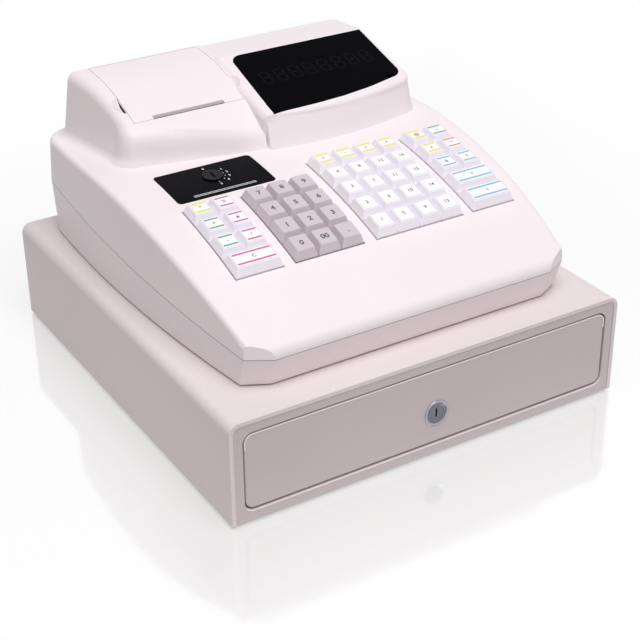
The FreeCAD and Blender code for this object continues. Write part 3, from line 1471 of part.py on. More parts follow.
def make_main_board():
    level = ("board_low", "board_top")
    board = box("board_sheet", ("board_left", "board_right"), ("board_front", "board_rear"), level)
    tongue = box("board_tongue", ("tongue_left", "board_right"), ("board_rear - overrun", "tongue_rear"),
                 level)
    pieces = [board, tongue]
    chips = (("-chip_width * 2", "board_front + chip_width"), ("chip_width / 2", "-chip_width"),
             ("chip_width * 2", "-chip_width * 3"))
    for number, (x, y) in enumerate(chips, start=1):
        pieces.append(box(f"chip_{number}", (x, f"{x} + chip_width"), (y, f"{y} + chip_width"),
                          ("board_top", "board_top + chip_height")))
    for number, x in enumerate(("-chip_width * 2", "chip_width / 2"), start=1):
        pieces.append(box(f"connector_{number}", (x, f"{x} + connector_length"),
                          ("board_rear - connector_width * 2", "board_rear - connector_width"),
                          ("board_top", "board_top + connector_height")))
    for number in range(2):
        x = f"board_right - capacitor_radius * {2 + 3 * number}"
        pieces.append(rod(f"capacitor_{number + 1}", "z", (x, "board_rear + chip_width"),
                          "capacitor_radius", ("board_top", "board_top + capacitor_height")))
    jack = box("jack_block", around("jack_place", "jack_half_width"),
               ("jack_face - jack_length", "jack_face"), ("board_top", "board_top + jack_height"))
    centre = ("jack_place", "board_top + jack_height / 2")
    nozzle = rod("jack_nozzle", "y", centre, "jack_nozzle_radius", ("jack_face", "base_rear"))
    bore = rod("jack_bore", "y", centre, "jack_bore_radius",
               ("jack_face - jack_length / 2", "base_rear + overrun"))
    pin = rod("jack_pin", "y", centre, "jack_bore_radius / 3",
              ("jack_face - jack_length / 2", "jack_face"))
    shell = cut("jack_socket", join("jack_blank", [jack, nozzle]), [bore])
    node("main_board", join("main_board", pieces + [shell, pin]))


def make_printer_frame():
    y_front = "printer_plate_front"
    pieces = [box("printer_base", ("printer_plate_left", "printer_plate_right"), (y_front, "bin_rear"),
                  ("printer_base_low", "bin_low"))]
    for side, x in (("left", "printer_plate_left"), ("right", "printer_right")):
        span = (x, f"{x} + printer_plate_thickness")
        pieces.append(box(f"printer_cheek_{side}_front", span, (y_front, "bin_front"),
                          ("bin_low", "platen_z + printer_plate_rise")))
        pieces.append(box(f"printer_cheek_{side}_rear", span, ("bin_front", "bin_rear"),
                          ("bin_low", "paper_z + printer_plate_step")))
    inside = ("printer_left", "printer_right")
    pieces.append(box("paper_bin", inside, ("bin_front", "bin_rear"), ("bin_low", "paper_z")))
    pieces.append(box("print_head", inside, ("head_back - head_thickness", "head_back"),
                      ("platen_z - head_height / 2", "platen_z + printer_plate_rise")))
    hollow = rod("paper_bin_hollow", "x", ("paper_place", "paper_z"), "bin_radius", inside)
    bearing = rod("platen_bearing", "x", ("platen_place", "platen_z"), "platen_shaft_radius + pin_gap",
                  ("printer_plate_left - overrun", "printer_plate_right + overrun"))
    node("printer_frame", cut("printer_frame", join("printer_blank", pieces), [hollow, bearing]))


def gear_outline(v):
    """Toothed wheel outline in the YZ plane around its own middle."""
    teeth = 18
    high = v.platen_gear_radius
    low = high - v.platen_tooth_height
    points = []
    for tooth in range(teeth):
        for share, radius in ((-0.35, low), (-0.15, high), (0.15, high), (0.35, low)):
            angle = 2 * math.pi * (tooth + share) / teeth
            points.append(Vector(0, radius * math.cos(angle), radius * math.sin(angle)))
    return Part.Face(Part.makePolygon(points + points[:1]))


def make_platen(v):
    gap = v.seat_gap
    place = (v.platen_place, v.platen_z)
    roller = drum(v, v.platen_radius, *place, v.printer_left + gap, v.printer_right - gap)
    shaft = drum(v, v.platen_shaft_radius, *place, v.gear_left, v.printer_plate_right + gap)
    gear = gear_outline(v).extrude(Vector(v.platen_gear_thickness, 0, 0))
    gear.translate(Vector(v.gear_left, *place))
    node("platen_roller", feature("platen_roller", roller.fuse([shaft, gear])))


def make_paper():
    span = ("paper_left", "paper_right")
    centre = ("paper_place", "paper_z")
    roll = rod("paper_wound", "x", centre, "paper_roll_radius", span)
    core = rod("paper_core", "x", centre, "paper_core_radius",
               ("paper_left - overrun", "paper_right + overrun"))
    node("paper_roll", cut("paper_roll", roll, [core]))


def check_and_write():
    DOC.recompute()
    os.makedirs("parts", exist_ok=True)
    for made in DOC.Objects:
        if "Invalid" in made.State or "Error" in made.State:
            raise RuntimeError(f"{made.Label} did not build: {made.State}")
    for made in NODES:
        shape = made.Shape
        if shape.isNull() or not shape.isValid():
            raise RuntimeError(f"{made.Label} has no valid shape")
    for made in NODES:
        made.Shape.exportStep(os.path.join("parts", made.Label + ".step"))


SHEETS = make_sheets()
V = Values(*SHEETS)
make_cabinet(V)
make_bezel(V)
make_feet()
make_drawer_front(V)
make_tray()
make_slides()
make_lock(V)
make_latch()
make_till()
make_clips(V)
HOOD = hood_solid(V, 0.0)
make_upper_case(V, HOOD)
make_cover(V, HOOD)
make_window(V)
make_mode_switch(V)
make_lower_case(V)
make_screws(V)
make_keys(V)
make_switch_plate(V)
make_main_board()
make_printer_frame()
make_platen(V)
make_paper()
check_and_write()
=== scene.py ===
import json
import math

import bpy
from mathutils import Matrix, Vector
from mathutils.bvhtree import BVHTree

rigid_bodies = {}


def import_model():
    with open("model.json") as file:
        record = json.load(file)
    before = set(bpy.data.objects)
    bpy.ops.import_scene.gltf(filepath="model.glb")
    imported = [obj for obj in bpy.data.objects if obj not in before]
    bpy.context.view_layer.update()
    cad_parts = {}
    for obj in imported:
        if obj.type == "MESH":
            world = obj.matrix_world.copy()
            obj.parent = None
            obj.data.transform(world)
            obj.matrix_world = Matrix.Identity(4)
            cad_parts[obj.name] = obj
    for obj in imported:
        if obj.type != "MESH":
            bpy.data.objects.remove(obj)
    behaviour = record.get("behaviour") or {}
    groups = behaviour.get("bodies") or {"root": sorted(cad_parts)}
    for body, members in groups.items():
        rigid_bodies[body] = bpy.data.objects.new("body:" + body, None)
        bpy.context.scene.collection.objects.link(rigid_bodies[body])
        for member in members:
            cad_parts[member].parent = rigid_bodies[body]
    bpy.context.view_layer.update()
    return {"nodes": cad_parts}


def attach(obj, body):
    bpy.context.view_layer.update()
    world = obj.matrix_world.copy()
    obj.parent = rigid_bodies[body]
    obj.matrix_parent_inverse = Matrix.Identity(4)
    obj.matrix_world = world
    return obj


for leftover in list(bpy.data.objects):
    bpy.data.objects.remove(leftover)
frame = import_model()
NODES = frame["nodes"]

MM = 0.001

# deck and keys, repeated from the model's sizes
DECK_RADIUS = 483.0 * MM
DECK_APEX = 60.4 * MM
DECK_CENTRE_Z = -318.4 * MM
BANK_BOTTOM = -159.4 * MM
COLUMN_PITCH = 19.05 * MM
ROW_PITCH = 20.3 * MM
LEFT_BANK = -112.2 * MM
NUMBER_BANK = -64.6 * MM
DEPARTMENT_BANK = 3.2 * MM
RIGHT_BANK = 88.2 * MM
KEY_TOP = 7.4 * MM
KEY_TOP_SHIFT = 0.8 * MM
MODE_PLACE = -68.7 * MM
MODE_ARC = -42.7 * MM
PANEL_MIDDLE = -69.0 * MM
PANEL_LINE = -64.5 * MM
WINDOW_TURN = math.radians(16)
WINDOW_ORIGIN = Vector((0, 117.0 * MM, 212.9 * MM))
LOCK_PLACE = 1.8 * MM
LOCK_HEIGHT = 35.5 * MM
BELT_SLOPE = 0.067
BELT_FRONT = -155.7 * MM
BELT_FRONT_Z = 106.7 * MM
SEAM_WIDTH = 0.55 * MM
DRAWER_FACE = -176.7 * MM
BEZEL_FACE = -177.0 * MM
DRAWER_LOW = 11.2 * MM
DRAWER_HIGH = 71.3 * MM
DRAWER_HALF = 153.7 * MM
CABINET_HALF = 165.0 * MM
CABINET_REAR = 177.5 * MM

# front of the hood: the foot lies this far before the wall, along the width
LEFT_BACK = ((-100 * MM, 6.4 * MM), (-60 * MM, 13.0 * MM), (-12 * MM, 15.0 * MM))
LEFT_FOOT = ((-100 * MM, 7.0 * MM), (-60 * MM, 6.0 * MM), (-12 * MM, 5.0 * MM))
RIGHT_FOOT = ((-9 * MM, 7.0 * MM), (50 * MM, 6.0 * MM), (112 * MM, 4.5 * MM))
WINDOW_BOW = ((-3.1 * MM, 80.9 * MM), (17 * MM, 80.7 * MM), (39 * MM, 80.3 * MM), (62.8 * MM, 78.9 * MM),
              (88.3 * MM, 75.7 * MM), (116.6 * MM, 69.8 * MM))
RIGHT_BACK = 3.6 * MM
LEFT_CORNER = Vector((-100.0, 84.0, 0)) * MM
RIGHT_CORNER = Vector((112.0, 70.0, 0)) * MM
LEFT_PLACES = range(-100, -11, 8)
RIGHT_PLACES = range(-9, 112, 11)
LEFT_TURNS = (192, 270)
RIGHT_TURNS = (270, 342)
TURN_STEP = 6
TURN_FADE = 48
LEFT_BEND = (0.52, 0.46)
RIGHT_BEND = (0.12, 0.6)
LEFT_END = 1.5 * MM
RIGHT_START = -10.2 * MM
RIGHT_START_FOOT = 6 * MM
NOSE_STEEP = math.radians(76)
NOSE_STEPS = 18
HOOD_LEVEL = 176 * MM
HOOD_ABOVE = 250 * MM
SKIN = 0.8 * MM
SUNK = 0.3 * MM
SKIN_CREASE = math.radians(50)
LIP_LEFT = -2.6
LIP_WIDTH = 119.0
LIP_STEPS = 24
LIP_TOP = -68.0 * MM
LIP_DEPTH = 4 * MM
LIP_RISE = 0.12 * MM

# window figures
FIGURE_COUNT = 8
FIGURE_START = 15.0
FIGURE_PITCH = 13.3
FIGURE_LEVEL = -37.0 * MM
FIGURE_SUNK = -0.02 * MM
FIGURE_HALF_HEIGHT = 7.4 * MM
FIGURE_HALF_WIDTH = 3.8 * MM

# marks of the mode panel: switch positions in degrees, and how far out dots and figures stand
MODE_POSITIONS = (96, 32, 5, -20, -48, -86)
DOT_REACH = 9.6 * MM
NUMBER_REACH = 12.9 * MM
MARK_RISE = 0.08 * MM
MARK_SUNK = -0.01 * MM

# camera, solved from the cabinet's corners
LENS = 85.64
CAMERA_PLACE = (-0.538963, -0.911246, 0.628561)
CAMERA_AZIMUTH = math.radians(-31.192)
CAMERA_ELEVATION = math.radians(29.611)
CAMERA_ROLL = math.radians(-0.620)


def srgb(red, green, blue):
    """A colour as seen on a screen, 0 to 255, as the shader's linear numbers."""
    linear = []
    for value in (red, green, blue):
        share = value / 255
        linear.append(share / 12.92 if share <= 0.04045 else ((share + 0.055) / 1.055) ** 2.4)
    return (*linear, 1.0)


# finishes


class Value:
    """One socket of a finish, which takes plain arithmetic."""

    def __init__(self, finish, socket):
        self.finish = finish
        self.socket = socket

    def __add__(self, other):
        return self.finish.maths("ADD", self, other)

    def __radd__(self, other):
        return self.finish.maths("ADD", other, self)

    def __sub__(self, other):
        return self.finish.maths("SUBTRACT", self, other)

    def __rsub__(self, other):
        return self.finish.maths("SUBTRACT", other, self)

    def __mul__(self, other):
        return self.finish.maths("MULTIPLY", self, other)

    def __rmul__(self, other):
        return self.finish.maths("MULTIPLY", other, self)

    def above(self, edge):
        return self.finish.maths("GREATER_THAN", self, edge)


class Finish:
    """A material and its nodes."""

    def __init__(self, name):
        self.material = bpy.data.materials.new(name)
        self.material.use_nodes = True
        self.nodes = self.material.node_tree.nodes
        self.links = self.material.node_tree.links
        self.nodes.clear()
        self.output = self.nodes.new("ShaderNodeOutputMaterial")
        self.place = self.node("ShaderNodeTexCoord", output="Object")

    def node(self, kind, settings=None, inputs=None, output=0):
        made = self.nodes.new(kind)
        for name, value in (settings or {}).items():
            setattr(made, name, value)
        for name, value in (inputs or {}).items():
            if isinstance(value, Value):
                self.links.new(value.socket, made.inputs[name])
            else:
                made.inputs[name].default_value = value
        return Value(self, made.outputs[output])

    def maths(self, operation, first, second=0.0):
        return self.node("ShaderNodeMath", {"operation": operation}, {0: first, 1: second})

    def noise(self, scale, detail=2.0, roughness=0.5, place=None):
        return self.node("ShaderNodeTexNoise", {},
                         {"Vector": place or self.place, "Scale": scale, "Detail": detail,
                          "Roughness": roughness})

    def mix(self, share, first, second):
        made = self.nodes.new("ShaderNodeMix")
        made.data_type = "RGBA"
        for socket, value in ((made.inputs[0], share), (made.inputs[6], first), (made.inputs[7], second)):
            if isinstance(value, Value):
                self.links.new(value.socket, socket)
            else:
                socket.default_value = value
        return Value(self, made.outputs[2])

    def spread(self, value, low, high, new_low=0.0, new_high=1.0):
        return self.node("ShaderNodeMapRange", {"clamp": True},
                         {"Value": value, "From Min": low, "From Max": high, "To Min": new_low,
                          "To Max": new_high})

    def bump(self, height, distance, strength):
        return self.node("ShaderNodeBump", {},
                         {"Height": height, "Distance": distance, "Strength": strength})

    def surface(self, **inputs):
        names = {name.replace("_", " "): value for name, value in inputs.items()}
        shader = self.node("ShaderNodeBsdfPrincipled", {}, names)
        self.links.new(shader.socket, self.output.inputs["Surface"])
        return self.material


def moulded_plastic(name, colour, darker, grain=0.00003, roughness=0.42, coat=0.0):
    """Moulded casing: fine spark-eroded grain, a faint mottle and slightly uneven gloss."""
    finish = Finish(name)
    mottle = finish.spread(finish.noise(9.0, 3.0), 0.3, 0.7)
    fine = finish.noise(2600.0, 1.0, 0.6)
    soft = finish.noise(140.0, 2.0)
    tint = finish.mix(mottle * 0.35 + fine * 0.12, colour, darker)
    gloss = finish.spread(soft, 0.3, 0.7, roughness - 0.04, roughness + 0.05)
    bump = finish.bump(fine, grain, 0.55)
    return finish.surface(Base_Color=tint, Roughness=gloss, Normal=bump, Coat_Weight=coat,
                          Specular_IOR_Level=0.45)


def powder_coat(name, colour, darker):
    """Sprayed sheet metal: small round orange peel over a smooth base."""
    finish = Finish(name)
    peel = finish.node("ShaderNodeTexVoronoi", {"feature": "SMOOTH_F1"},
                       {"Vector": finish.place, "Scale": 900.0, "Smoothness": 0.6})
    broad = finish.spread(finish.noise(6.0, 2.0), 0.35, 0.65)
    tint = finish.mix(broad * 0.3 + peel * 0.15, colour, darker)
    gloss = finish.spread(peel, 0.1, 0.7, 0.4, 0.5)
    bump = finish.bump(peel, 0.00004, 0.5)
    return finish.surface(Base_Color=tint, Roughness=gloss, Normal=bump, Specular_IOR_Level=0.25)


def gloss_black(name, colour, shine):
    """Polished dark plastic with faint dust."""
    finish = Finish(name)
    dust = finish.spread(finish.noise(700.0, 2.0), 0.62, 0.75)
    smear = finish.spread(finish.noise(25.0, 2.0), 0.3, 0.7)
    tint = finish.mix(dust * 0.1, colour, srgb(44, 44, 52))
    gloss = finish.spread(smear, 0.0, 1.0, 0.16, 0.26) + dust * 0.1
    return finish.surface(Base_Color=tint, Roughness=gloss, Specular_IOR_Level=shine)


def metal(name, colour, darker, roughness, stretch):
    """Rolled or polished metal with fine lines along one way."""
    finish = Finish(name)
    scaled = finish.node("ShaderNodeMapping", {}, {"Vector": finish.place, "Scale": stretch})
    lines = finish.noise(60.0, 4.0, 0.6, scaled)
    cloud = finish.spread(finish.noise(18.0, 2.0), 0.3, 0.7)
    tint = finish.mix(cloud * 0.5 + lines * 0.25, colour, darker)
    gloss = finish.spread(lines, 0.25, 0.75, roughness - 0.06, roughness + 0.08)
    bump = finish.bump(lines, 0.00002, 0.35)
    return finish.surface(Base_Color=tint, Metallic=1.0, Roughness=gloss, Normal=bump)


def turned_metal(name):
    """Chromed lock face, turned in rings about the lock's axis."""
    finish = Finish(name)
    centred = finish.node("ShaderNodeVectorMath", {"operation": "SUBTRACT"},
                          {0: finish.place, 1: (LOCK_PLACE, 0.0, LOCK_HEIGHT)})
    flat = finish.node("ShaderNodeVectorMath", {"operation": "MULTIPLY"}, {0: centred, 1: (1.0, 0.0, 1.0)})
    reach = finish.node("ShaderNodeVectorMath", {"operation": "LENGTH"}, {0: flat}, output=1)
    rings = finish.maths("SINE", reach * 5200.0) * 0.5 + 0.5
    rim = reach.above(8.6 * MM)
    dark = (1.0 - rim) * (rings * 0.6 + 0.4)
    tint = finish.mix(dark, srgb(168, 168, 176), srgb(84, 84, 92))
    bump = finish.bump(rings, 0.0001, 0.6)
    return finish.surface(Base_Color=tint, Metallic=1.0, Normal=bump,
                          Roughness=finish.spread(rings, 0.0, 1.0, 0.12, 0.3))


def dull_rubber(name, colour):
    finish = Finish(name)
    grit = finish.noise(1800.0, 3.0, 0.7)
    tint = finish.mix(grit * 0.5, colour, srgb(62, 60, 60))
    return finish.surface(Base_Color=tint, Roughness=finish.spread(grit, 0.3, 0.7, 0.7, 0.88),
                          Normal=finish.bump(grit, 0.00005, 0.6))


def circuit_board(name):
    """Green lacquer over copper tracks, with solder points in rows."""
    finish = Finish(name)
    tracks = finish.node("ShaderNodeTexBrick", {"offset": 0.35},
                         {"Vector": finish.place, "Scale": 90.0, "Mortar Size": 0.06,
                          "Color1": srgb(20, 84, 46), "Color2": srgb(24, 92, 52),
                          "Mortar": srgb(52, 128, 74)})
    dots = finish.node("ShaderNodeTexVoronoi", {"distance": "CHEBYCHEV"},
                       {"Vector": finish.place, "Scale": 190.0, "Randomness": 0.35})
    solder = 1.0 - dots.above(0.16)
    tint = finish.mix(solder, tracks, srgb(176, 178, 176))
    return finish.surface(Base_Color=tint, Roughness=0.35, Metallic=solder * 0.8,
                          Normal=finish.bump(solder, 0.0001, 0.6))


def thermal_paper(name):
    """Wound paper: fine rings on the ends and a soft fibre."""
    finish = Finish(name)
    fibre = finish.noise(420.0, 4.0, 0.65)
    rings = finish.noise(30.0, 1.0, 0.5)
    tint = finish.mix(fibre * 0.3 + rings * 0.2, srgb(246, 246, 244), srgb(222, 221, 216))
    return finish.surface(Base_Color=tint, Roughness=0.72, Normal=finish.bump(fibre, 0.00003, 0.5))


def print_ink(name, colour):
    """Printed colour, a little uneven where the paper shows through."""
    finish = Finish(name)
    speckle = finish.spread(finish.noise(2200.0, 2.0), 0.3, 0.7)
    tint = finish.mix(speckle * 0.18, colour, srgb(250, 248, 250))
    return finish.surface(Base_Color=tint, Roughness=finish.spread(speckle, 0.0, 1.0, 0.32, 0.42),
                          Coat_Weight=0.12, Coat_Roughness=0.12)


CASING = moulded_plastic("casing_plastic", srgb(246, 237, 240), srgb(238, 228, 232))
COVER = moulded_plastic("cover_plastic", srgb(247, 238, 241), srgb(239, 229, 233))
DRAWER = moulded_plastic("drawer_plastic", srgb(210, 198, 201), srgb(200, 188, 192), roughness=0.5)
CABINET = powder_coat("painted_cabinet", srgb(234, 224, 226), srgb(224, 213, 216))
# painted highlight: pale finish for strips that stand in for light on the drawer's top edge and the
# opening's lower lip
PAINTED_EDGE_HIGHLIGHT = moulded_plastic("painted_edge_highlight", srgb(250, 244, 246), srgb(242, 234, 238), roughness=0.35)
GREY_KEY = moulded_plastic("key_grey", srgb(211, 200, 206), srgb(201, 189, 195), roughness=0.45)
CLEAR_KEY = moulded_plastic("key_white", srgb(250, 246, 253), srgb(240, 234, 247), grain=0.000012,
                            roughness=0.2, coat=0.6)
WINDOW = gloss_black("window_gloss", srgb(4, 4, 8), 0.01)
PANEL = gloss_black("panel_gloss", srgb(9, 9, 14), 0.02)
ROTOR = gloss_black("rotor_gloss", srgb(13, 13, 17), 0.08)
CHROME = turned_metal("lock_chrome")
ZINC = metal("zinc_steel", srgb(196, 199, 204), srgb(160, 164, 172), 0.32, (1.0, 0.05, 1.0))
TILL = moulded_plastic("till_plastic", srgb(48, 48, 52), srgb(38, 38, 42), grain=0.00005, roughness=0.5)
CLIP = moulded_plastic("clip_plastic", srgb(58, 58, 62), srgb(46, 46, 50), roughness=0.4)
PRINTER = moulded_plastic("printer_plastic", srgb(72, 72, 77), srgb(58, 58, 64), roughness=0.45)
FEET = dull_rubber("foot_rubber", srgb(34, 33, 33))
PLATEN = dull_rubber("platen_rubber", srgb(44, 43, 43))
BOARD = circuit_board("circuit_board")
PAPER = thermal_paper("paper")
BLACK_INK = print_ink("black_ink", srgb(26, 22, 26))
GREY_INK = print_ink("grey_ink", srgb(84, 80, 88))
SEAM = print_ink("seam_shadow", srgb(120, 108, 112))
WHITE_INK = print_ink("white_ink", srgb(236, 236, 238))
LABEL = print_ink("label_white", srgb(250, 248, 252))
# painted shade: grey-lavender line that stands in for the refracting edge of the clear key cap
PAINTED_CAP_EDGE_SHADE = print_ink("painted_cap_edge_shade", srgb(186, 180, 198))
SEGMENT = gloss_black("segment_grey", srgb(20, 20, 26), 0.01)
YELLOW = print_ink("bar_yellow", srgb(240, 230, 92))
MAGENTA = print_ink("bar_magenta", srgb(206, 52, 138))
GREEN = print_ink("bar_green", srgb(46, 156, 128))
DARK_GREEN = print_ink("bar_dark_green", srgb(58, 142, 124))
ORANGE = print_ink("bar_orange", srgb(228, 110, 74))
BLUE = print_ink("bar_blue", srgb(94, 182, 222))

FINISH_OF = {
    "drawer_cabinet": CABINET, "cabinet_base": ZINC, "front_bezel": DRAWER, "rubber_feet": FEET,
    "slide_outer_rails": ZINC, "slide_middle_members": ZINC, "slide_inner_members": ZINC,
    "latch_solenoid": ZINC, "latch_lever": ZINC, "lock_cam": ZINC, "lock_housing": CHROME,
    "lock_plug": CHROME, "drawer_tray": ZINC, "drawer_front": DRAWER, "till_insert": TILL,
    "lower_case": CASING, "upper_case": CASING, "printer_cover": COVER, "display_window": WINDOW,
    "display_board": BOARD, "mode_panel": PANEL, "mode_switch_body": PRINTER, "mode_rotor": ROTOR,
    "keyboard_plate": ZINC, "main_board": BOARD, "printer_frame": PRINTER, "platen_roller": PLATEN,
    "paper_roll": PAPER, "case_screws": ZINC,
}
for number in range(1, 5):
    FINISH_OF[f"bill_clip_{number}"] = CLIP
NUMBER_KEYS = (("key_0", "key_00", "key_point"), ("key_1", "key_2", "key_3"),
               ("key_4", "key_5", "key_6"), ("key_7", "key_8", "key_9"))
GREY_NODES = {name for row in NUMBER_KEYS for name in row}

for name, piece in NODES.items():
    if name in GREY_NODES:
        finish = GREY_KEY
    else:
        finish = FINISH_OF.get(name, CLEAR_KEY)
    piece.data.materials.clear()
    piece.data.materials.append(finish)


# modelling helpers


def deselect():
    bpy.ops.object.select_all(action="DESELECT")


def choose(piece):
    """Select one piece alone and make it active."""
    deselect()
    piece.select_set(True)
    bpy.context.view_layer.objects.active = piece


def edit_edges(piece, wanted):
    """Open a piece for editing with only the wanted edges selected."""
    bpy.context.tool_settings.mesh_select_mode = (False, True, False)
    mesh = piece.data
    for part in (*mesh.polygons, *mesh.vertices):
        part.select = False
    for edge in mesh.edges:
        ends = [mesh.vertices[i].co for i in edge.vertices]
        edge.select = wanted(*ends)
    bpy.ops.object.mode_set(mode="EDIT")


def slab(name, width, depth, height, corner, steps=3, edge=0.0):
    """A thin plate with rounded corners, standing on its own middle."""
    deselect()
    bpy.ops.mesh.primitive_cube_add(size=1)
    piece = bpy.context.object
    piece.name = name
    bpy.ops.object.mode_set(mode="EDIT")
    bpy.ops.mesh.select_all(action="SELECT")
    bpy.ops.transform.resize(value=(width, depth, height))
    bpy.ops.transform.translate(value=(0, 0, height / 2))
    bpy.ops.object.mode_set(mode="OBJECT")
    edit_edges(piece, lambda a, b: abs(a.x - b.x) + abs(a.y - b.y) < height / 100)
    bpy.ops.mesh.bevel(offset=corner, segments=steps, affect="EDGES")
    bpy.ops.object.mode_set(mode="OBJECT")
    if edge:
        edit_edges(piece, lambda a, b: min(a.z, b.z) > height * 0.99)
        bpy.ops.mesh.bevel(offset=edge, segments=2, affect="EDGES")
        bpy.ops.object.mode_set(mode="OBJECT")
    return piece


def written(name, text, size, height, bold=0.0):
    """Raised figures, centred on the origin."""
    deselect()
    bpy.ops.object.text_add()
    piece = bpy.context.object
    piece.data.body = text
    piece.data.size = size
    piece.data.extrude = height / 2
    piece.data.offset = bold
    piece.data.align_x = "CENTER"
    piece.data.align_y = "CENTER"
    piece.data.resolution_u = 3
    bpy.ops.object.convert(target="MESH")
    piece = bpy.context.object
    piece.name = name
    piece.data.transform(Matrix.Translation((0, 0, height / 2)))
    return piece


def finished(piece, finish):
    piece.data.materials.clear()
    piece.data.materials.append(finish)
    return piece


def copied(piece, place):
    """A copy with its own mesh, moved in its mesh."""
    twin = piece.copy()
    twin.data = piece.data.copy()
    twin.data.transform(place)
    bpy.context.scene.collection.objects.link(twin)
    return twin


def moved(piece, place):
    piece.data.transform(place)
    return piece


def joined(name, pieces):
    deselect()
    for piece in pieces:
        piece.select_set(True)
    bpy.context.view_layer.objects.active = pieces[0]
    if len(pieces) > 1:
        bpy.ops.object.join()
    piece = bpy.context.view_layer.objects.active
    piece.name = name
    return piece


def at(x, y, z=0.0):
    return Matrix.Translation((x, y, z))


def on_deck(x, arc):
    """Frame of a place on the curved deck: Z along its normal, Y towards the rear."""
    turn = arc / DECK_RADIUS
    y = DECK_APEX + DECK_RADIUS * math.sin(turn)
    z = DECK_CENTRE_Z + DECK_RADIUS * math.cos(turn)
    return at(x, y, z) @ Matrix.Rotation(-turn, 4, "X")


def key_place(bank, column, row, columns=1):
    x = bank + (column + columns / 2) * COLUMN_PITCH
    return on_deck(x, BANK_BOTTOM + (row + 0.5) * ROW_PITCH)


# key labels

LABEL_RISE = 0.10 * MM
INK_RISE = 0.05 * MM
LABEL_DEPTH = 13.4 * MM
LABEL_WIDTH = 12.4 * MM
EDGE_LINE = 0.25 * MM
BAR_DEPTHS = {"thin": 1.5 * MM, "wide": 2.4 * MM}
BAR_INSET = 0.6 * MM
FIGURE_SHIFT = 0.2 * MM
BAR_PLACE = 4.65 * MM


def label_blank(columns):
    """Paper label in its cap: a fine painted shade line for the clear cap's edge, under a white plate."""
    width = LABEL_WIDTH + (columns - 1) * COLUMN_PITCH
    line = finished(slab("painted_cap_edge_line", width + 2 * EDGE_LINE, LABEL_DEPTH + 2 * EDGE_LINE, LABEL_RISE * 0.6,
                         1.0 * MM), PAINTED_CAP_EDGE_SHADE)
    plate = finished(slab("label_plate", width, LABEL_DEPTH, LABEL_RISE, 0.8 * MM, edge=0.03 * MM), LABEL)
    return joined("label_blank", [line, plate])


def bar_blank(columns, kind):
    width = LABEL_WIDTH - 2 * BAR_INSET + (columns - 1) * COLUMN_PITCH
    return slab("bar_blank", width, BAR_DEPTHS[kind], INK_RISE, 0.3 * MM, steps=2)


LABEL_BLANKS = {columns: label_blank(columns) for columns in (1, 2)}
BAR_BLANKS = {(columns, kind): bar_blank(columns, kind) for columns in (1, 2) for kind in BAR_DEPTHS}


def label(place, text="", bar=None, columns=1, size=4.4 * MM, ink=None):
    """One key's label: plate, two coloured bars and a plain sign or number between them."""
    top = place @ at(0, KEY_TOP_SHIFT, KEY_TOP - LABEL_RISE * 0.1)
    pieces = [copied(LABEL_BLANKS[columns], top)]
    inked = top @ at(0, 0, LABEL_RISE - INK_RISE * 0.2)
    if bar:
        kind = "wide" if bar is YELLOW else "thin"
        for side in (-1, 1):
            pieces.append(finished(copied(BAR_BLANKS[columns, kind], inked @ at(0, side * BAR_PLACE)), bar))
    if text:
        sign = finished(written("sign", text, size, INK_RISE, 0.06 * MM), ink or GREY_INK)
        pieces.append(moved(sign, inked))
    return pieces


def key_labels():
    made = {}
    left = (("key_left_4a", 0, 3, "*", YELLOW), ("key_left_4b", 1, 3, "%", MAGENTA),
            ("key_left_3a", 0, 2, "+", GREEN), ("key_left_3b", 1, 2, "#", MAGENTA),
            ("key_left_2a", 0, 1, "-", GREEN), ("key_left_2b", 1, 1, "/", MAGENTA))
    for node, column, row, text, bar in left:
        made[node] = label(key_place(LEFT_BANK, column, row), text, bar)
    made["key_left_wide"] = label(key_place(LEFT_BANK, 0, 0, 2), "C", MAGENTA, 2)
    made["key_right_wide_1"] = label(key_place(RIGHT_BANK, 0, 0, 2), "=", BLUE, 2)
    made["key_right_wide_2"] = label(key_place(RIGHT_BANK, 0, 1, 2), "+", BLUE, 2)
    right = ((("&", BLUE), ("x", YELLOW), ("@", YELLOW)), (("<", BLUE), (">", ORANGE), ("~", DARK_GREEN)))
    for column, labels in enumerate(right):
        pieces = []
        for row, (text, bar) in enumerate(labels, start=2):
            pieces += label(key_place(RIGHT_BANK, column, row), text, bar)
        made[f"keys_right_column_{column + 1}"] = pieces
    for column in range(4):
        pieces = []
        for row in range(4):
            number = str(column * 4 + row + 1)
            pieces += label(key_place(DEPARTMENT_BANK, column, row), number, ink=BLACK_INK, size=4.6 * MM)
        pieces += label(key_place(DEPARTMENT_BANK, column, 4), "<->+"[column], YELLOW)
        made[f"keys_department_column_{column + 1}"] = pieces
    for row, names in enumerate(NUMBER_KEYS):
        for column, node in enumerate(names):
            text = {"key_point": ".", "key_00": "00"}.get(node, node[4:])
            figure = finished(written("figure", text, 6.4 * MM, INK_RISE * 1.6, 0.2 * MM), BLACK_INK)
            place = key_place(NUMBER_BANK, column, row) @ at(0, FIGURE_SHIFT, KEY_TOP - INK_RISE * 0.3)
            made[node] = [moved(figure, place)]
    for node, pieces in made.items():
        piece = joined("marks_" + node, pieces)
        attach(piece, node)
        "key_grey" if node in GREY_NODES else "key_white"


key_labels()
for blank in (*LABEL_BLANKS.values(), *BAR_BLANKS.values()):
    bpy.data.objects.remove(blank)


# mode panel


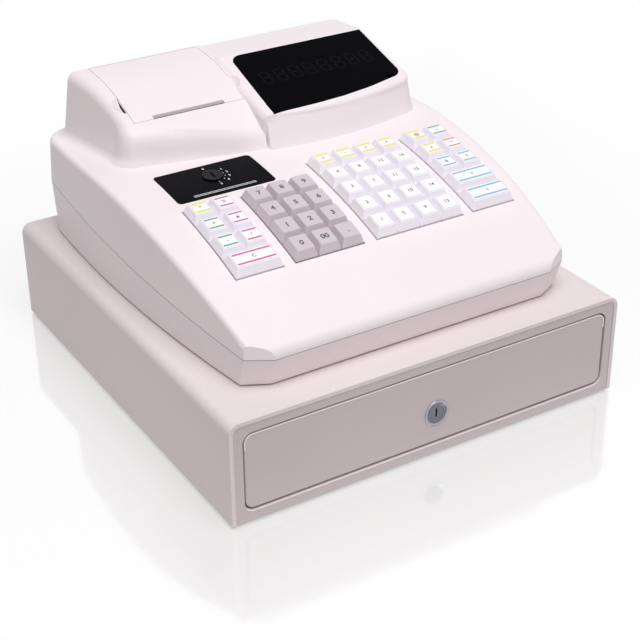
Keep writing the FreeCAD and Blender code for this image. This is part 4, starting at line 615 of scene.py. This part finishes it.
def panel_marks():
    """Dots and plain figures round the mode switch, and two plain lines under it."""
    pieces = []
    for number, degrees in enumerate(MODE_POSITIONS):
        turn = math.radians(degrees)
        for reach, size in ((DOT_REACH, 0), (NUMBER_REACH, 3.2 * MM)):
            place = on_deck(MODE_PLACE + reach * math.cos(turn), MODE_ARC + reach * math.sin(turn))
            if size:
                mark = written("figure", str(number), size, MARK_RISE, 0.08 * MM)
            else:
                mark = slab("dot", 0.8 * MM, 0.8 * MM, MARK_RISE, 0.38 * MM, steps=4)
            pieces.append(finished(moved(mark, place @ at(0, 0, MARK_SUNK)), WHITE_INK))
    for low in (0.0, 1.5 * MM):
        line = slab("line", 52.0 * MM, 0.5 * MM, MARK_RISE, 0.2 * MM, steps=2)
        place = on_deck(PANEL_MIDDLE, PANEL_LINE + low) @ at(0, 0, MARK_SUNK)
        pieces.append(finished(moved(line, place), WHITE_INK))
    piece = joined("panel_marks", pieces)
    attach(piece, "register")


panel_marks()


# shadow line at the casing's seam and painted highlights at the drawer


def plane_cut(keep_above, place, normal):
    """Cut all that is selected in edit mode, and drop one side of the plane."""
    bpy.ops.mesh.select_all(action="SELECT")
    bpy.ops.mesh.bisect(plane_co=place, plane_no=normal, clear_inner=keep_above,
                        clear_outer=not keep_above, threshold=0.001 * MM)


def belt_seam():
    """Shadow line where the upper casing stands on the lower one, taken from the lower one's rim."""
    piece = bpy.data.objects.new("belt_seam", NODES["lower_case"].data.copy())
    bpy.context.scene.collection.objects.link(piece)
    choose(piece)
    slope = Vector((0, -BELT_SLOPE, 1)).normalized()
    rim = Vector((0, BELT_FRONT, BELT_FRONT_Z))
    bpy.ops.object.mode_set(mode="EDIT")
    bpy.ops.mesh.select_all(action="SELECT")
    bpy.ops.mesh.remove_doubles(threshold=0.001 * MM)
    plane_cut(True, rim - slope * SEAM_WIDTH, slope)
    plane_cut(False, rim - slope * 0.02 * MM, slope)
    bpy.ops.object.mode_set(mode="OBJECT")
    middle = Vector((0, 9.0 * MM, 0))
    for face in piece.data.polygons:
        outward = face.center - middle
        outward.z = 0
        face.select = abs(face.normal.z) > 0.6 or face.normal.dot(outward) < 0
    bpy.context.tool_settings.mesh_select_mode = (False, False, True)
    bpy.ops.object.mode_set(mode="EDIT")
    bpy.ops.mesh.delete(type="FACE")
    bpy.ops.mesh.select_all(action="SELECT")
    bpy.ops.transform.shrink_fatten(value=0.06 * MM)
    bpy.ops.object.mode_set(mode="OBJECT")
    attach(finished(piece, SEAM), "register")


def frame_line(name, width, height, corner, line, proud):
    """A thin frame with rounded corners, lying flat about its own middle."""
    piece = slab(name, width, height, proud, corner, steps=6)
    bpy.context.tool_settings.mesh_select_mode = (False, False, True)
    mesh = piece.data
    for part in (*mesh.vertices, *mesh.edges):
        part.select = False
    for face in mesh.polygons:
        face.select = abs(face.normal.z) > 0.9
    bpy.ops.object.mode_set(mode="EDIT")
    bpy.ops.mesh.inset(thickness=line, depth=0)
    bpy.ops.mesh.bridge_edge_loops()
    bpy.ops.object.mode_set(mode="OBJECT")
    return piece


def drawer_lines():
    """Painted highlights: a pale strip on the drawer front's top edge and one on the lower lip of its
    opening, standing in for light falling on these edges.
    """
    stand = Matrix.Rotation(math.pi / 2, 4, "X")
    middle = (DRAWER_LOW + DRAWER_HIGH) / 2
    high = DRAWER_HIGH - DRAWER_LOW
    wide = 2 * DRAWER_HALF
    edge = frame_line("drawer_edge_highlight", wide - 0.4 * MM, high - 0.4 * MM, 6.6 * MM, 0.9 * MM, 0.25 * MM)
    moved(edge, at(0, DRAWER_FACE, middle) @ stand)
    lip = frame_line("opening_lip_highlight", wide + 4.6 * MM, high + 4.6 * MM, 9.0 * MM, 0.9 * MM, 0.2 * MM)
    moved(lip, at(0, BEZEL_FACE, middle) @ stand)
    for piece, above, level, body in ((edge, True, DRAWER_HIGH - 12 * MM, "drawer"),
                                      (lip, False, DRAWER_LOW + 1.5 * MM, "register")):
        choose(piece)
        bpy.ops.object.mode_set(mode="EDIT")
        plane_cut(above, (0, 0, level), (0, 0, 1))
        bpy.ops.object.mode_set(mode="OBJECT")
        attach(finished(piece, PAINTED_EDGE_HIGHLIGHT), body)


belt_seam()
drawer_lines()


# display figures


def display_figures():
    """Dim seven-bar figures on the window, all bars unlit."""
    plane = at(*WINDOW_ORIGIN) @ Matrix.Rotation(WINDOW_TURN, 4, "X")
    blank = finished(slab("segment", 6.4 * MM, 1.3 * MM, 0.06 * MM, 0.6 * MM, steps=1), SEGMENT)
    pieces = []
    half = FIGURE_HALF_HEIGHT
    wide = FIGURE_HALF_WIDTH
    quarter = Matrix.Rotation(math.pi / 2, 4, "Z")
    for digit in range(FIGURE_COUNT):
        middle = plane @ at((FIGURE_START + FIGURE_PITCH * digit) * MM, FIGURE_LEVEL, FIGURE_SUNK)
        for y in (-half, 0, half):
            pieces.append(copied(blank, middle @ at(0, y)))
        for x in (-wide, wide):
            for y in (-half / 2, half / 2):
                pieces.append(copied(blank, middle @ at(x, y) @ quarter))
    bpy.data.objects.remove(blank)
    piece = joined("window_figures", pieces)
    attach(piece, "register")


display_figures()


# front of the hood, and the window's bowed lower edge


def sheet(name, columns):
    """A closed skin through columns of points, all of the same length."""
    deselect()
    last = (len(columns) - 1, len(columns[0]) - 1)
    bpy.ops.mesh.primitive_grid_add(x_subdivisions=last[0], y_subdivisions=last[1], size=2)
    piece = bpy.context.object
    piece.name = name
    for vertex in piece.data.vertices:
        column, row = (round((vertex.co[axis] + 1) / 2 * last[axis]) for axis in (0, 1))
        vertex.co = columns[column][row]
    if sum(face.normal.z for face in piece.data.polygons) < 0:
        piece.data.flip_normals()
    skin = piece.modifiers.new("skin", "SOLIDIFY")
    skin.thickness = SKIN
    skin.offset = -1.0
    bpy.ops.object.modifier_apply(modifier=skin.name)
    bpy.ops.object.shade_smooth_by_angle(angle=SKIN_CREASE)
    return piece


def between(table, place):
    """Straight lines between the pairs of a table."""
    for (before, low), (after, high) in zip(table, table[1:]):
        if place <= after:
            break
    share = min(max((place - before) / (after - before), 0.0), 1.0)
    return low + (high - low) * share


def nose(tree, middle, outward, back, foot, bend, weight):
    """Column of points down the hood's front, from the roof behind its wall to the crease on the deck."""
    def roof(reach):
        return tree.ray_cast(middle + outward * reach + Vector((0, 0, HOOD_ABOVE)), Vector((0, 0, -1)))[0].z

    def wall(height):
        hit = tree.ray_cast(middle + outward * HOOD_ABOVE + Vector((0, 0, height)), -outward)[0]
        return (hit - middle).dot(outward)

    face = wall(HOOD_LEVEL)
    start = Vector((face - back, roof(face - back) - SUNK / 4))
    end = Vector((face + foot, roof(face + foot) - SUNK))
    along = Vector((MM, roof(face - back + MM) - roof(face - back))).normalized()
    steep = Vector((-math.cos(NOSE_STEEP), math.sin(NOSE_STEEP)))
    span = (end - start).length
    controls = (start, start + along * span * bend[0], end + steep * span * bend[1], end)
    points = []
    for step in range(NOSE_STEPS + 1):
        t = step / NOSE_STEPS
        weights = ((1 - t) ** 3, 3 * t * (1 - t) ** 2, 3 * t * t * (1 - t), t ** 3)
        spot = sum((control * share for control, share in zip(controls, weights)), Vector((0, 0)))
        if 0 < step < NOSE_STEPS:
            if spot.x < face:
                spot.y = max(spot.y, roof(spot.x) + SUNK / 4)
            else:
                spot.x = max(spot.x, wall(spot.y) + SUNK / 4)
        point = middle + outward * spot.x + Vector((0, 0, spot.y))
        if weight < 1:
            nearest, normal, _, _ = tree.find_nearest(point)
            point = (nearest - normal * SUNK).lerp(point, weight)
        points.append(point)
    return points


def fan(turn):
    """Level direction at a turn about the corner."""
    return Vector((math.cos(turn), math.sin(turn), 0))


def hood_front():
    """Soft noses over the walls of the printer half and the display half."""
    upper = NODES["upper_case"]
    tree = BVHTree.FromPolygons([vertex.co for vertex in upper.data.vertices],
                                [face.vertices for face in upper.data.polygons])
    ahead = Vector((0, -1, 0))
    back = between(LEFT_BACK, LEFT_CORNER.x)
    foot = between(LEFT_FOOT, LEFT_CORNER.x)
    columns = []
    for turn in range(*LEFT_TURNS, TURN_STEP):
        weight = min((turn - LEFT_TURNS[0]) / TURN_FADE, 1.0)
        columns.append(nose(tree, LEFT_CORNER, fan(math.radians(turn)), back, foot, LEFT_BEND, weight))
    for x in LEFT_PLACES:
        columns.append(nose(tree, Vector((x * MM, LEFT_CORNER.y, 0)), ahead, between(LEFT_BACK, x * MM),
                            between(LEFT_FOOT, x * MM), LEFT_BEND, 1.0))
    columns.append([point + Vector((LEFT_END, 0, 0)) for point in columns[-1]])
    left = sheet("hood_nose", columns)
    columns = [nose(tree, Vector((RIGHT_START, RIGHT_CORNER.y, 0)), ahead, RIGHT_BACK, RIGHT_START_FOOT,
                    RIGHT_BEND, 0.0)]
    for x in RIGHT_PLACES:
        columns.append(nose(tree, Vector((x * MM, RIGHT_CORNER.y, 0)), ahead, RIGHT_BACK,
                            between(RIGHT_FOOT, x * MM), RIGHT_BEND, 1.0))
    foot = between(RIGHT_FOOT, RIGHT_CORNER.x)
    for turn in range(RIGHT_TURNS[0], RIGHT_TURNS[1] + 1, TURN_STEP):
        weight = min((RIGHT_TURNS[1] - turn) / TURN_FADE, 1.0)
        columns.append(nose(tree, RIGHT_CORNER, fan(math.radians(turn)), RIGHT_BACK, foot, RIGHT_BEND,
                            weight))
    right = sheet("hood_brow", columns)
    for piece in (left, right):
        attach(finished(piece, CASING), "register")


def window_lip():
    """The window's lower edge bows forward, so a strip of the same black goes on below it."""
    plane = at(*WINDOW_ORIGIN) @ Matrix.Rotation(WINDOW_TURN, 4, "X")
    columns = []
    for step in range(LIP_STEPS + 1):
        x = (LIP_LEFT + LIP_WIDTH * step / LIP_STEPS) * MM
        low = between(WINDOW_BOW, x)
        columns.append([plane @ Vector((x, y, LIP_RISE)) for y in (-low, -low + LIP_DEPTH, LIP_TOP)])
    piece = finished(sheet("window_lip", columns), WINDOW)
    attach(piece, "register")


hood_front()
window_lip()


# camera, light and floor


def camera():
    data = bpy.data.cameras.new("camera")
    data.sensor_width = 36.0
    data.lens = LENS
    eye = bpy.data.objects.new("camera", data)
    bpy.context.scene.collection.objects.link(eye)
    level = math.cos(CAMERA_ELEVATION)
    back = Vector((math.sin(CAMERA_AZIMUTH) * level, -math.cos(CAMERA_AZIMUTH) * level,
                   math.sin(CAMERA_ELEVATION)))
    right = Vector((0, 0, 1)).cross(back).normalized()
    up = back.cross(right)
    turned_right = right * math.cos(CAMERA_ROLL) + up * math.sin(CAMERA_ROLL)
    turned_up = up * math.cos(CAMERA_ROLL) - right * math.sin(CAMERA_ROLL)
    rotation = Matrix((turned_right, turned_up, back)).transposed()
    eye.matrix_world = at(*CAMERA_PLACE) @ rotation.to_4x4()
    data.clip_start = 0.05
    data.clip_end = 60.0
    bpy.context.scene.camera = eye


def lamp(name, place, target, size, power):
    data = bpy.data.lights.new(name, "AREA")
    data.shape = "RECTANGLE"
    data.size, data.size_y = size
    data.energy = power
    lit = bpy.data.objects.new(name, data)
    bpy.context.scene.collection.objects.link(lit)
    lit.location = place
    lit.rotation_euler = (Vector(target) - Vector(place)).to_track_quat("-Z", "Y").to_euler()


def seen_ray(finish):
    """1 for rays that show the background itself, also in metal and glass."""
    seen = finish.node("ShaderNodeLightPath", output="Is Camera Ray")
    for kind in ("Is Glossy Ray", "Is Transmission Ray"):
        seen = finish.maths("MAXIMUM", seen, finish.node("ShaderNodeLightPath", output=kind))
    return seen


def floor():
    """White ground with a soft shadow and a mirror image that fades away from the cabinet."""
    deselect()
    bpy.ops.mesh.primitive_plane_add(size=40.0)
    ground = bpy.context.object
    ground.name = "floor"
    finish = Finish("floor")
    seen = seen_ray(finish)
    offset = finish.node("ShaderNodeVectorMath", {"operation": "ABSOLUTE"}, {0: finish.place})
    axes = [finish.node("ShaderNodeSeparateXYZ", {}, {0: offset}, output=axis) for axis in (0, 1)]
    away = finish.maths("MAXIMUM", axes[0] - CABINET_HALF, axes[1] - CABINET_REAR)
    matt = finish.node("ShaderNodeBsdfDiffuse", {},
                       {"Color": finish.mix(seen, (0.56, 0.55, 0.55, 1.0), (1.0, 1.0, 1.0, 1.0))})
    white = finish.node("ShaderNodeEmission", {}, {"Color": (1.0, 1.0, 1.0, 1.0), "Strength": 1.0})
    ground_light = finish.node("ShaderNodeMixShader", {},
                               {0: seen * finish.spread(away, 0.04, 0.4, 0.6, 1.0), 1: matt, 2: white})
    mirror = finish.node("ShaderNodeBsdfGlossy", {}, {"Color": (1.0, 1.0, 1.0, 1.0), "Roughness": 0.08})
    ground_shader = finish.node("ShaderNodeMixShader", {},
                                {0: finish.spread(away, 0.0, 0.18, 0.33, 0.0), 1: ground_light, 2: mirror})
    finish.links.new(ground_shader.socket, finish.output.inputs["Surface"])
    finished(ground, finish.material)


class Sky(Finish):
    """The world's own nodes, written in the same way."""

    def __init__(self, name):
        self.world = bpy.data.worlds.new(name)
        self.world.use_nodes = True
        self.nodes = self.world.node_tree.nodes
        self.links = self.world.node_tree.links
        self.nodes.clear()
        self.output = self.nodes.new("ShaderNodeOutputWorld")


def surroundings():
    """Soft studio light, seen as plain white."""
    sky = Sky("surroundings")
    soft = sky.node("ShaderNodeBackground", {}, {"Color": (1.0, 0.96, 0.96, 1.0), "Strength": 0.38})
    white = sky.node("ShaderNodeBackground", {}, {"Color": (1.0, 1.0, 1.0, 1.0), "Strength": 1.0})
    both = sky.node("ShaderNodeMixShader", {}, {0: seen_ray(sky), 1: soft, 2: white})
    sky.links.new(both.socket, sky.output.inputs["Surface"])
    bpy.context.scene.world = sky.world


camera()
lamp("key_light", (-0.15, -0.85, 2.23), (0, 0, 0.1), (1.5, 1.5), 38.0)
floor()
surroundings()
bpy.context.scene.view_settings.view_transform = "Standard"
